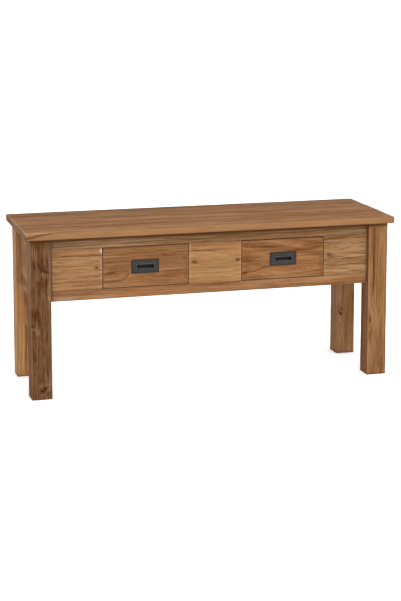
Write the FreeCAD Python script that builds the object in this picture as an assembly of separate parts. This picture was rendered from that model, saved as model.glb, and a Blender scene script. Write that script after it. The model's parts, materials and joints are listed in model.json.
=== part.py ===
import FreeCAD, Part
import os
import math

os.makedirs("parts", exist_ok=True)
V = FreeCAD.Vector

# ---------------------------------------------------------------------------
# Telephone bench with two drawers. Millimetres. X is the length (right is +X),
# Y the depth (the front is -Y), Z is up. The origin is on the floor, in the
# middle of the seat's footprint.
# ---------------------------------------------------------------------------
SEAT_L = 1100.0          # seat length
SEAT_D = 360.0           # seat depth
SEAT_H = 480.0           # floor to the top of the seat
SEAT_T = 19.0            # seat thickness
BOARDS = (-180.0, -62.0, 58.0, 180.0)   # edges of the three seat boards, in Y
SEAT_R = 3.0             # rounding of the seat's long arrises

LEG = 59.0               # square section of the legs
OVER_X = 15.0            # seat past the legs at the ends
OVER_F = 19.0            # seat past the legs at the front
OVER_B = 22.0            # seat past the legs at the back
LEG_R = 2.5              # rounding of the leg's long edges
FOOT_C = 2.0             # chamfer round the foot

INSET = 15.0             # outer face of rails and aprons, behind the leg's face
BOARD_T = 22.0           # thickness of rails, aprons and front panels
Z_AB = 278.0             # underside of the aprons and of the lower rail
Z_LO = 307.0             # drawer opening, bottom
Z_HI = 426.0             # drawer opening, top
LEFT_OPEN = (-326.0, -72.0)     # left drawer opening, in X
RIGHT_OPEN = (86.0, 339.5)      # right drawer opening, in X

TENON_T = 10.0           # tenon thickness
TENON_L = 25.0           # tenon length
GLUE = 1.0               # glue room at the bottom of a mortise
TONGUE_T = 8.0           # stub tongue of the front panels
TONGUE_H = 6.0

GAP = 1.5                # gap round a drawer front
RUN_Z = Z_LO + 1.2       # top of the runners
RUN_CLEAR = 0.3          # running clearance of the drawer on the runners
FRONT_T = 20.0           # drawer front
SIDE_T = 12.0            # drawer sides and back
SIDE_H = 93.0
DRAWER_END = 95.0        # rear end of the drawer sides, in Y
BOTTOM_T = 5.0           # drawer bottom
GROOVE = 4.0             # groove for the bottom and dado for the back
TRAVEL = 180.0           # drawer travel

PULL_W = 80.0            # flush pull: plate
PULL_H = 39.0
PULL_DX = {"left": -2.5, "right": 0.5}   # pull, off the middle of its drawer front
PULL_T = 2.0             # plate thickness, standing on the drawer front
LIP_W = 56.0             # raised lip round the finger slot, outer
LIP_H = 17.0
LIP_T = 1.6              # lip above the plate
SLOT_W = 49.0            # finger slot
SLOT_H = 10.0
CUP_D = 13.0             # depth of the cup behind the front face
CUP_W = 60.0             # cup inside, behind the plate
CUP_H = 22.0
CUP_WALL = 1.5
PIN_R = 1.4              # pins at the pull's corners
PIN_HEAD_R = 2.3

PEG_R = 3.0              # pegs through the front panels
PEG_X = (-343.0, -55.5, 74.5, 356.0)
PEG_Z = 370.0

# Derived places
TOP_Z = SEAT_H
UND_Z = SEAT_H - SEAT_T
LX0, LX1 = -SEAT_L / 2 + OVER_X, -SEAT_L / 2 + OVER_X + LEG
RX0, RX1 = SEAT_L / 2 - OVER_X - LEG, SEAT_L / 2 - OVER_X
FY0, FY1 = -SEAT_D / 2 + OVER_F, -SEAT_D / 2 + OVER_F + LEG
BY0, BY1 = SEAT_D / 2 - OVER_B - LEG, SEAT_D / 2 - OVER_B
F0, F1 = FY0 + INSET, FY0 + INSET + BOARD_T          # front boards, in Y
R0, R1 = BY1 - INSET - BOARD_T, BY1 - INSET          # rear apron, in Y
SL0, SL1 = LX0 + INSET, LX0 + INSET + BOARD_T        # left side apron, in X
SR0, SR1 = RX1 - INSET - BOARD_T, RX1 - INSET        # right side apron, in X


def box(x0, y0, z0, x1, y1, z1):
    return Part.makeBox(x1 - x0, y1 - y0, z1 - z0, V(x0, y0, z0))


def cyl(r, h, at, d):
    return Part.makeCylinder(r, h, at, d)


def fuse(parts):
    s = parts[0]
    for p in parts[1:]:
        s = s.fuse(p)
    return s.removeSplitter()


def cut(s, tools):
    for t in tools:
        s = s.cut(t)
    return s


def long_edges(s, axis, at=None):
    """Straight edges along one axis; at(mid point) picks some of them."""
    out = []
    for e in s.Edges:
        a, b = e.Vertexes[0].Point, e.Vertexes[-1].Point
        d = b.sub(a)
        if d.Length < 1e-6:
            continue
        comp = [abs(d.x), abs(d.y), abs(d.z)]
        if comp[axis] / d.Length > 0.999:
            m = (a + b).multiply(0.5)
            if at is None or at(m):
                out.append(e)
    return out


def screw(r, head_r, length, at, d):
    """Countersunk wood screw, its head's face at `at`, pointing along d."""
    d = V(d).normalize()
    head_h = head_r - r
    head = Part.makeCone(head_r, r, head_h, at, d)
    shank = cyl(r, length - head_h - 3 * r, at + d * head_h, d)
    tip = Part.makeCone(r, 0.2, 3 * r, at + d * (length - 3 * r), d)
    return fuse([head, shank, tip])


nodes = {}

# --- legs --------------------------------------------------------------------
for name, x0, y0 in (("front_left_leg", LX0, FY0), ("front_right_leg", RX0, FY0),
                     ("rear_left_leg", LX0, BY0), ("rear_right_leg", RX0, BY0)):
    s = box(x0, y0, 0, x0 + LEG, y0 + LEG, UND_Z)
    s = s.makeFillet(LEG_R, long_edges(s, 2))
    foot = [e for e in s.Edges if e.BoundBox.ZMax < 0.01]
    s = s.makeChamfer(FOOT_C, foot)
    nodes[name] = s

# --- rails and aprons, with their tenons ---------------------------------------
F_TY = (F0 + 6, F0 + 6 + TENON_T)          # front tenons, in Y
R_TY = (R1 - 6 - TENON_T, R1 - 6)          # rear apron tenons, in Y
S_LTX = (SL0 + 6, SL0 + 6 + TENON_T)       # side apron tenons, in X
S_RTX = (SR1 - 6 - TENON_T, SR1 - 6)


def cross_rail(z0, z1, y0, y1, ty, tz):
    body = box(LX1, y0, z0, RX0, y1, z1)
    ten_l = box(LX1 - TENON_L, ty[0], tz[0], LX1 + 1, ty[1], tz[1])
    ten_r = box(RX0 - 1, ty[0], tz[0], RX0 + TENON_L, ty[1], tz[1])
    return fuse([body, ten_l, ten_r])


nodes["front_top_rail"] = cross_rail(Z_HI, UND_Z, F0, F1, F_TY, (Z_HI + 5, UND_Z - 6))
nodes["front_bottom_rail"] = cross_rail(Z_AB, Z_LO, F0, F1, F_TY, (Z_AB + 5, Z_LO - 5))
nodes["rear_apron"] = cross_rail(Z_AB, UND_Z, R0, R1, R_TY, (Z_AB + 14, UND_Z - 14))


def side_apron(x0, x1, tx):
    tz = (Z_AB + 14, UND_Z - 14)
    body = box(x0, FY1, Z_AB, x1, BY0, UND_Z)
    t0 = box(tx[0], FY1 - TENON_L, tz[0], tx[1], FY1 + 1, tz[1])
    t1 = box(tx[0], BY0 - 1, tz[0], tx[1], BY0 + TENON_L, tz[1])
    return fuse([body, t0, t1])


nodes["left_side_apron"] = side_apron(SL0, SL1, S_LTX)
nodes["right_side_apron"] = side_apron(SR0, SR1, S_RTX)

# mortises: the tenon's section, 1 mm deeper than the tenon
def mortise_x(ty, tz, left):
    if left:
        return box(LX1 - TENON_L - GLUE, ty[0], tz[0], LX1 + 5, ty[1], tz[1])
    return box(RX0 - 5, ty[0], tz[0], RX0 + TENON_L + GLUE, ty[1], tz[1])


def mortise_y(tx, tz, front):
    if front:
        return box(tx[0], FY1 - TENON_L - GLUE, tz[0], tx[1], FY1 + 5, tz[1])
    return box(tx[0], BY0 - 5, tz[0], tx[1], BY0 + TENON_L + GLUE, tz[1])


AT = (Z_AB + 14, UND_Z - 14)
for side in ("left", "right"):
    left = side == "left"
    tx = S_LTX if left else S_RTX
    f = [mortise_x(F_TY, (Z_HI + 5, UND_Z - 6), left),
         mortise_x(F_TY, (Z_AB + 5, Z_LO - 5), left), mortise_y(tx, AT, True)]
    r = [mortise_x(R_TY, AT, left), mortise_y(tx, AT, False)]
    nodes["front_%s_leg" % side] = cut(nodes["front_%s_leg" % side], f)
    nodes["rear_%s_leg" % side] = cut(nodes["rear_%s_leg" % side], r)

# --- fixed front panels with stub tongues in both rails -----------------------
TY = (F0 + (BOARD_T - TONGUE_T) / 2, F0 + (BOARD_T + TONGUE_T) / 2)
for name, x0, x1 in (("front_left_panel", LX1, LEFT_OPEN[0]),
                     ("front_middle_panel", LEFT_OPEN[1], RIGHT_OPEN[0]),
                     ("front_right_panel", RIGHT_OPEN[1], RX0)):
    body = box(x0, F0, Z_LO, x1, F1, Z_HI)
    tl = box(x0 + 8, TY[0], Z_LO - TONGUE_H, x1 - 8, TY[1], Z_LO + 1)
    tu = box(x0 + 8, TY[0], Z_HI - 1, x1 - 8, TY[1], Z_HI + TONGUE_H)
    nodes[name] = fuse([body, tl, tu])
    nodes["front_bottom_rail"] = nodes["front_bottom_rail"].cut(
        box(x0 + 8, TY[0], Z_LO - TONGUE_H, x1 - 8, TY[1], Z_LO + 5))
    nodes["front_top_rail"] = nodes["front_top_rail"].cut(
        box(x0 + 8, TY[0], Z_HI - 5, x1 - 8, TY[1], Z_HI + TONGUE_H))

# --- drawer housing ------------------------------------------------------------
GUIDE_T, GUIDE_Z = 24.0, (Z_LO - 22.0, Z_LO + 100.0)
HOUSING = 5.0            # depth of the housing in the rear apron
RUN_W, RUN_H = 22.0, 20.0
peg_places, screw_runner = [], []
for d, (o0, o1) in (("left", LEFT_OPEN), ("right", RIGHT_OPEN)):
    for side in ("left", "right"):
        g0, g1 = (o0 - GUIDE_T, o0) if side == "left" else (o1, o1 + GUIDE_T)
        z0 = RUN_Z - RUN_H
        guide = box(g0, F1, GUIDE_Z[0], g1, R0 + HOUSING, GUIDE_Z[1])
        nodes["%s_drawer_%s_guide" % (d, side)] = guide
        nodes["rear_apron"] = nodes["rear_apron"].cut(
            box(g0, R0 - 5, GUIDE_Z[0], g1, R0 + HOUSING, GUIDE_Z[1]))
        r0, r1 = (o0, o0 + RUN_W) if side == "left" else (o1 - RUN_W, o1)
        nodes["%s_drawer_%s_runner" % (d, side)] = box(r0, F1, z0, r1, R0, RUN_Z)
        px = PEG_X[2 * (d == "right") + (side == "right")]
        peg_places.append((px, g0, g1))
        sx, sd = (r1, -1) if side == "left" else (r0, 1)
        for y in (-95.0, 0.0, 95.0):
            screw_runner.append(screw(1.9, 3.8, 34.0, V(sx, y, z0 + RUN_H / 2), V(sd, 0, 0)))
    mid = (o0 + o1) / 2
    nodes["%s_drawer_kicker" % d] = box(mid - 20, F1, Z_HI, mid + 20, R0, Z_HI + 18)
    nodes["%s_drawer_stop" % d] = box(mid - 35, DRAWER_END - 3 + 0.3, 335, mid + 35, R0, 365)

# pegs through the front panels into the ends of the guides
pegs = []
for px, g0, g1 in peg_places:
    pegs.append(cyl(PEG_R, 52.0, V(px, F0, PEG_Z), V(0, 1, 0)))
for name in ("front_left_panel", "front_middle_panel", "front_right_panel",
             "left_drawer_left_guide", "left_drawer_right_guide",
             "right_drawer_left_guide", "right_drawer_right_guide"):
    nodes[name] = cut(nodes[name], pegs)
for s in screw_runner:
    for name in list(nodes):
        if name.endswith("_runner") or name.endswith("_guide"):
            if nodes[name].BoundBox.intersect(s.BoundBox):
                nodes[name] = nodes[name].cut(s)
nodes["guide_pegs"] = Part.makeCompound(pegs)
nodes["runner_screws"] = Part.makeCompound(screw_runner)

# --- corner blocks ---------------------------------------------------------------
BLOCK_Z = (UND_Z - 52.0, UND_Z)
BLOCK_A = 50.0           # how far a block runs along the apron from the leg
corner = []
for fy in ("front", "rear"):
    for sx in ("left", "right"):
        sgx = 1 if sx == "left" else -1
        sgy = 1 if fy == "front" else -1
        cx, cy = (LX1 if sx == "left" else RX0), (FY1 if fy == "front" else BY0)
        ax = SL1 if sx == "left" else SR0           # side apron's inner face
        ay = F1 if fy == "front" else R0            # front or rear board's inner face
        pts = [V(cx, ay, 0), V(cx + sgx * BLOCK_A, ay, 0),
               V(ax, cy + sgy * BLOCK_A, 0), V(ax, cy, 0), V(cx, cy, 0)]
        w = Part.makePolygon(pts + [pts[0]])
        blk = Part.Face(w).extrude(V(0, 0, BLOCK_Z[1] - BLOCK_Z[0]))
        blk.translate(V(0, 0, BLOCK_Z[0]))
        hx = (cx + sgx * BLOCK_A + ax) / 2
        hy = (ay + cy + sgy * BLOCK_A) / 2
        dv = V(cx - hx, cy - hy, 0)
        zc = BLOCK_Z[0] + 16.0
        own = [screw(2.2, 4.4, 48.0, V(hx, hy, zc), dv)]
        own.append(screw(2.0, 4.0, 62.0, V(cx + sgx * 20, ay + sgy * 9, BLOCK_Z[0]), V(0, 0, 1)))
        own.append(screw(2.0, 4.0, 62.0, V(ax + sgx * 9, cy + sgy * 20, BLOCK_Z[0]), V(0, 0, 1)))
        nodes["%s_%s_corner_block" % (fy, sx)] = cut(blk, own)
        leg = "%s_%s_leg" % (fy, sx)
        nodes[leg] = nodes[leg].cut(own[0])
        corner += own
nodes["corner_block_screws"] = Part.makeCompound(corner)

# --- seat: three boards, cleats and their screws -----------------------------------
whole = box(-SEAT_L / 2, -SEAT_D / 2, UND_Z, SEAT_L / 2, SEAT_D / 2, TOP_Z)
whole = whole.makeFillet(6.0, long_edges(whole, 2))
rim = [e for e in whole.Edges if e.BoundBox.ZLength < 0.01]
whole = whole.makeFillet(SEAT_R, rim)

CLEAT_W, CLEAT_H = 45.0, 24.0
cleat_x = {"left": -400.0, "middle": 7.0, "right": 400.0}
cs = []
for side, x in cleat_x.items():
    c = box(x - CLEAT_W / 2, F1, UND_Z - CLEAT_H, x + CLEAT_W / 2, R0, UND_Z)
    c = c.makeChamfer(3.0, [e for e in long_edges(c, 1, lambda m: m.z < UND_Z - 1)])
    own = []
    for y in (-106.0, -78.0, -30.0, 26.0, 74.0, 106.0):
        own.append(screw(2.0, 4.0, CLEAT_H + 13.0, V(x, y, UND_Z - CLEAT_H), V(0, 0, 1)))
    nodes["%s_seat_cleat" % side] = cut(c, own)
    cs += own
nodes["seat_cleat_screws"] = Part.makeCompound(cs)

for name, y0, y1 in (("seat_front_board", BOARDS[0] - 5, BOARDS[1]),
                     ("seat_middle_board", BOARDS[1], BOARDS[2]),
                     ("seat_rear_board", BOARDS[2], BOARDS[3] + 5)):
    b = whole.common(box(-SEAT_L, y0, 0, SEAT_L, y1, 900))
    for s in cs + corner:
        if b.BoundBox.intersect(s.BoundBox):
            b = b.cut(s)
    nodes[name] = b

# --- drawers --------------------------------------------------------------------------
for d, (o0, o1) in (("left", LEFT_OPEN), ("right", RIGHT_OPEN)):
    x0, x1 = o0 + GAP, o1 - GAP
    z0 = RUN_Z + RUN_CLEAR
    z1 = Z_HI - GAP
    yf, yb = F0, F0 + FRONT_T
    xm = (x0 + x1) / 2
    zm = (z0 + z1) / 2
    ys = yb - 8.0                                     # sides start in the front's rebate
    zb0 = z0 + 6.0                                    # underside of the drawer bottom

    front = box(x0, yf, z0, x1, yb, z1)
    front = front.makeFillet(0.8, [e for e in front.Edges if e.BoundBox.YMax < yf + 0.01])
    left = box(x0, ys, z0, x0 + SIDE_T, DRAWER_END, z0 + SIDE_H)
    right = box(x1 - SIDE_T, ys, z0, x1, DRAWER_END, z0 + SIDE_H)
    back = box(x0 + SIDE_T - GROOVE, DRAWER_END - 3 - SIDE_T, zb0 + BOTTOM_T,
               x1 - SIDE_T + GROOVE, DRAWER_END - 3, z0 + SIDE_H - 4)
    bottom = box(x0 + SIDE_T - GROOVE, yb - GROOVE, zb0,
                 x1 - SIDE_T + GROOVE, DRAWER_END - 3, zb0 + BOTTOM_T)
    front = cut(front, [box(x0 - 1, ys, z0 - 1, x0 + SIDE_T, yb + 1, z0 + SIDE_H),
                        box(x1 - SIDE_T, ys, z0 - 1, x1 + 1, yb + 1, z0 + SIDE_H),
                        box(x0 + SIDE_T - GROOVE, yb - GROOVE, zb0,
                            x1 - SIDE_T + GROOVE, yb + 1, zb0 + BOTTOM_T)])
    left = cut(left, [back, bottom])
    right = cut(right, [back, bottom])

    # flush pull: plate, raised rounded lip round the slot, closed cup behind
    xm += PULL_DX[d]
    plate = box(xm - PULL_W / 2, yf - PULL_T, zm - PULL_H / 2,
                xm + PULL_W / 2, yf, zm + PULL_H / 2)
    plate = plate.makeFillet(2.0, long_edges(plate, 1))
    plate = plate.makeChamfer(0.8, [e for e in plate.Edges if e.BoundBox.YMax < yf - PULL_T + 0.01])
    lip = box(xm - LIP_W / 2, yf - PULL_T - LIP_T, zm - LIP_H / 2,
              xm + LIP_W / 2, yf - PULL_T + 0.5, zm + LIP_H / 2)
    lip = lip.makeFillet(2.5, long_edges(lip, 1))
    cup = box(xm - CUP_W / 2 - CUP_WALL, yf - 0.5, zm - CUP_H / 2 - CUP_WALL,
              xm + CUP_W / 2 + CUP_WALL, yf + CUP_D, zm + CUP_H / 2 + CUP_WALL)
    cup = cup.makeFillet(4.0, long_edges(cup, 1))
    room = box(xm - CUP_W / 2, yf, zm - CUP_H / 2, xm + CUP_W / 2, yf + CUP_D - CUP_WALL, zm + CUP_H / 2)
    room = room.makeFillet(2.5, long_edges(room, 1))
    slot = box(xm - SLOT_W / 2, yf - PULL_T - LIP_T - 1, zm - SLOT_H / 2,
               xm + SLOT_W / 2, yf + 1, zm + SLOT_H / 2)
    slot = slot.makeFillet(2.0, long_edges(slot, 1))
    pull = fuse([plate, lip, cup])
    pull = cut(pull, [room, slot])
    inner = [e for e in pull.Edges
             if e.BoundBox.YMax < yf - PULL_T - LIP_T + 0.01]
    try:
        pull = pull.makeFillet(1.0, inner)
    except Exception:
        pass
    pocket = box(xm - CUP_W / 2 - CUP_WALL, yf - 1, zm - CUP_H / 2 - CUP_WALL,
                 xm + CUP_W / 2 + CUP_WALL, yf + CUP_D, zm + CUP_H / 2 + CUP_WALL)
    pocket = pocket.makeFillet(4.0, long_edges(pocket, 1))
    front = front.cut(pocket)
    pins = []
    for sx in (-1, 1):
        for sz in (-1, 1):
            at = V(xm + sx * (PULL_W / 2 - 5.0), yf - PULL_T, zm + sz * (PULL_H / 2 - 5.0))
            head = Part.makeSphere(3.0, at + V(0, 2.1, 0))
            head = head.common(cyl(PIN_HEAD_R + 1, 4.0, at - V(0, 4.0, 0), V(0, 1, 0)))
            shank = cyl(PIN_R, 12.0, at - V(0, 0.2, 0), V(0, 1, 0))
            pins.append(fuse([head, shank]))
    front = cut(front, pins)
    pull = cut(pull, pins)
    nodes["%s_drawer_front" % d] = front
    nodes["%s_drawer_left_side" % d] = left
    nodes["%s_drawer_right_side" % d] = right
    nodes["%s_drawer_back" % d] = back
    nodes["%s_drawer_bottom" % d] = bottom
    nodes["%s_drawer_pull" % d] = pull
    nodes["%s_pull_pins" % d] = Part.makeCompound(pins)

# --- write ------------------------------------------------------------------------------
for name, s in nodes.items():
    s.exportStep("parts/%s.step" % name)
    print("%-28s solids %d valid %s volume %.0f" % (name, len(s.Solids), s.isValid(), s.Volume))
print(len(nodes), "nodes")
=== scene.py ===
import bpy
import json
import math
import numpy as np
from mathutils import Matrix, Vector


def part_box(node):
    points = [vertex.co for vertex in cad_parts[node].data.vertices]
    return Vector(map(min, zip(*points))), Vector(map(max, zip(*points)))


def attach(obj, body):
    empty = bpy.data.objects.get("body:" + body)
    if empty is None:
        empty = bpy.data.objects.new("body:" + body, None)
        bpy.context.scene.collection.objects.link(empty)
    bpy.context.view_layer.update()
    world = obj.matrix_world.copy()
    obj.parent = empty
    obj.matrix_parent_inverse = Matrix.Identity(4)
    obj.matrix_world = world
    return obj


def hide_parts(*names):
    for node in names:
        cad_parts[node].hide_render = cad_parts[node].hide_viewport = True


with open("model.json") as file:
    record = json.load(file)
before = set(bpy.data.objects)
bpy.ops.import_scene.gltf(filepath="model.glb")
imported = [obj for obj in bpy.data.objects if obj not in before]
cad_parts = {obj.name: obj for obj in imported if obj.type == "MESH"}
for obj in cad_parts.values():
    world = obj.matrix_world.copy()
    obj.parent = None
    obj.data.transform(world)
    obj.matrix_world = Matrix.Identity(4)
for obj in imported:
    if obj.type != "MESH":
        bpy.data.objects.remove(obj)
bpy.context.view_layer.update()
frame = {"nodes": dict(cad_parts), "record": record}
NODES = frame["nodes"]
BODY_OF = {}
for _b, _ns in frame["record"]["behaviour"]["bodies"].items():
    for _n in _ns:
        BODY_OF[_n] = _b
MM = 0.001


def cad(node):
    lo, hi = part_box(node)
    return np.array(lo) / MM, np.array(hi) / MM


# ---------------------------------------------------------------------------
# Noise
# ---------------------------------------------------------------------------
_rs = np.random.RandomState(11)
_PERM = _rs.permutation(256).astype(np.int64)
_GR = _rs.normal(size=(256, 3))
_GR /= np.linalg.norm(_GR, axis=1)[:, None]


def pn(P, seed=0.0):
    """Gradient noise, about -1 to 1, on an N x 3 array in lattice units."""
    P = np.asarray(P, float) + float(seed) * np.array([17.13, 5.77, 9.31]) + 300.0
    i = np.floor(P).astype(np.int64)
    f = P - i
    u = f * f * f * (f * (f * 6 - 15) + 10)
    out = np.zeros(len(P))
    for dx in (0, 1):
        hx = _PERM[(i[:, 0] + dx) & 255]
        wx = u[:, 0] if dx else 1 - u[:, 0]
        for dy in (0, 1):
            hy = _PERM[(hx + i[:, 1] + dy) & 255]
            wy = u[:, 1] if dy else 1 - u[:, 1]
            for dz in (0, 1):
                h = _PERM[(hy + i[:, 2] + dz) & 255]
                wz = u[:, 2] if dz else 1 - u[:, 2]
                g = _GR[h]
                out += wx * wy * wz * (g[:, 0] * (f[:, 0] - dx) + g[:, 1] * (f[:, 1] - dy)
                                       + g[:, 2] * (f[:, 2] - dz))
    return out * 1.7


def fbm(P, seed=0.0, octaves=3):
    a, s, o = 0.0, 1.0, 0.0
    for k in range(octaves):
        a = a + s * pn(np.asarray(P) * 2.03 ** k, seed + 31 * k)
        o += s
        s *= 0.5
    return a / o


def srgb(c):
    """sRGB 0-255 to linear."""
    out = []
    for v in c:
        v = v / 255.0
        out.append(v / 12.92 if v <= 0.04045 else ((v + 0.055) / 1.055) ** 2.4)
    return tuple(out)


# ---------------------------------------------------------------------------
# Solid boards from a grid of cells
# ---------------------------------------------------------------------------
def grid_lines(lo, hi, r, step, must=(), fine=()):
    """Lines from lo to hi: the rounded arris, an even step between, lines that must be there, and finer bands (centre, half width, step)."""
    n = max(1, int(round((hi - lo - 2 * r) / step)))
    base = list(np.linspace(lo + r, hi - r, n + 1))
    for c, half, st in fine:
        a, b = max(lo + r, c - half), min(hi - r, c + half)
        if b <= a:
            continue
        base = [x for x in base if not (a - st * 0.6 < x < b + st * 0.6)]
        base += list(np.linspace(a, b, max(2, int(round((b - a) / st)) + 1)))
    edge = [0.0, r * 0.423, r * 0.732]
    base += [lo + e for e in edge] + [hi - e for e in edge] + [lo + r, hi - r]
    keep = sorted(set(round(m, 4) for m in must if lo < m < hi))
    base = [x for x in base if all(abs(x - m) > 0.35 for m in keep)] + keep
    base = sorted(set(round(x, 4) for x in base))
    out = [base[0]]
    for x in base[1:]:
        if x - out[-1] > 0.12:
            out.append(x)
        elif any(abs(x - m) < 1e-3 for m in keep):
            out[-1] = x
    out[0], out[-1] = lo, hi
    return np.array(out)


def cells_mesh(gx, gy, gz, occ):
    """Closed surface of the filled cells."""
    nx, ny, nz = len(gx), len(gy), len(gz)
    pad = np.zeros((nx + 1, ny + 1, nz + 1), bool)
    pad[1:-1, 1:-1, 1:-1] = occ
    vid = lambda i, j, k: (i * ny + j) * nz + k
    quads = []
    # faces across x
    a, b = pad[:-1, 1:-1, 1:-1], pad[1:, 1:-1, 1:-1]
    for sel, flip in ((a & ~b, False), (~a & b, True)):
        i, j, k = np.nonzero(sel)
        q = np.stack([vid(i, j, k), vid(i, j + 1, k), vid(i, j + 1, k + 1), vid(i, j, k + 1)], 1)
        quads.append(q[:, ::-1] if flip else q)
    a, b = pad[1:-1, :-1, 1:-1], pad[1:-1, 1:, 1:-1]
    for sel, flip in ((a & ~b, False), (~a & b, True)):
        i, j, k = np.nonzero(sel)
        q = np.stack([vid(i, j, k), vid(i, j, k + 1), vid(i + 1, j, k + 1), vid(i + 1, j, k)], 1)
        quads.append(q[:, ::-1] if flip else q)
    a, b = pad[1:-1, 1:-1, :-1], pad[1:-1, 1:-1, 1:]
    for sel, flip in ((a & ~b, False), (~a & b, True)):
        i, j, k = np.nonzero(sel)
        q = np.stack([vid(i, j, k), vid(i + 1, j, k), vid(i + 1, j + 1, k), vid(i, j + 1, k)], 1)
        quads.append(q[:, ::-1] if flip else q)
    quads = np.concatenate(quads)
    used, inv = np.unique(quads, return_inverse=True)
    quads = inv.reshape(quads.shape)
    i, j, k = used // (ny * nz), (used // nz) % ny, used % nz
    return np.stack([gx[i], gy[j], gz[k]], 1), quads


AX = {"X": (0, 1, 2), "Y": (1, 0, 2), "Z": (2, 0, 1)}


def seg_dist(P, a, b):
    """Distance from points to a segment, and how far along it (0 to 1)."""
    a, b = np.array(a, float), np.array(b, float)
    d = b - a
    t = np.clip(((P - a) @ d) / max(d @ d, 1e-9), 0, 1)
    return np.linalg.norm(P - (a + t[:, None] * d), axis=1), t


def new_object(name, verts_m, faces, smooth=True):
    me = bpy.data.meshes.new(name)
    me.from_pydata([], [], [])
    me.vertices.add(len(verts_m))
    me.vertices.foreach_set("co", np.asarray(verts_m, np.float32).ravel())
    faces = np.asarray(faces, np.int32)
    n = faces.shape[1]
    me.loops.add(faces.size)
    me.loops.foreach_set("vertex_index", faces.ravel())
    me.polygons.add(len(faces))
    me.polygons.foreach_set("loop_start", np.arange(0, faces.size, n, dtype=np.int32))
    me.polygons.foreach_set("loop_total", np.full(len(faces), n, np.int32))
    me.update(calc_edges=True)
    me.validate()
    if smooth:
        me.polygons.foreach_set("use_smooth", np.ones(len(me.polygons), bool))
    ob = bpy.data.objects.new(name, me)
    bpy.context.scene.collection.objects.link(ob)
    return ob


def set_float(me, name, values):
    a = me.attributes.new(name, "FLOAT", "POINT")
    a.data.foreach_set("value", np.asarray(values, np.float32))


def set_colour(me, name, rgba):
    a = me.attributes.new(name, "FLOAT_COLOR", "POINT")
    a.data.foreach_set("color", np.asarray(rgba, np.float32).ravel())


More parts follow.
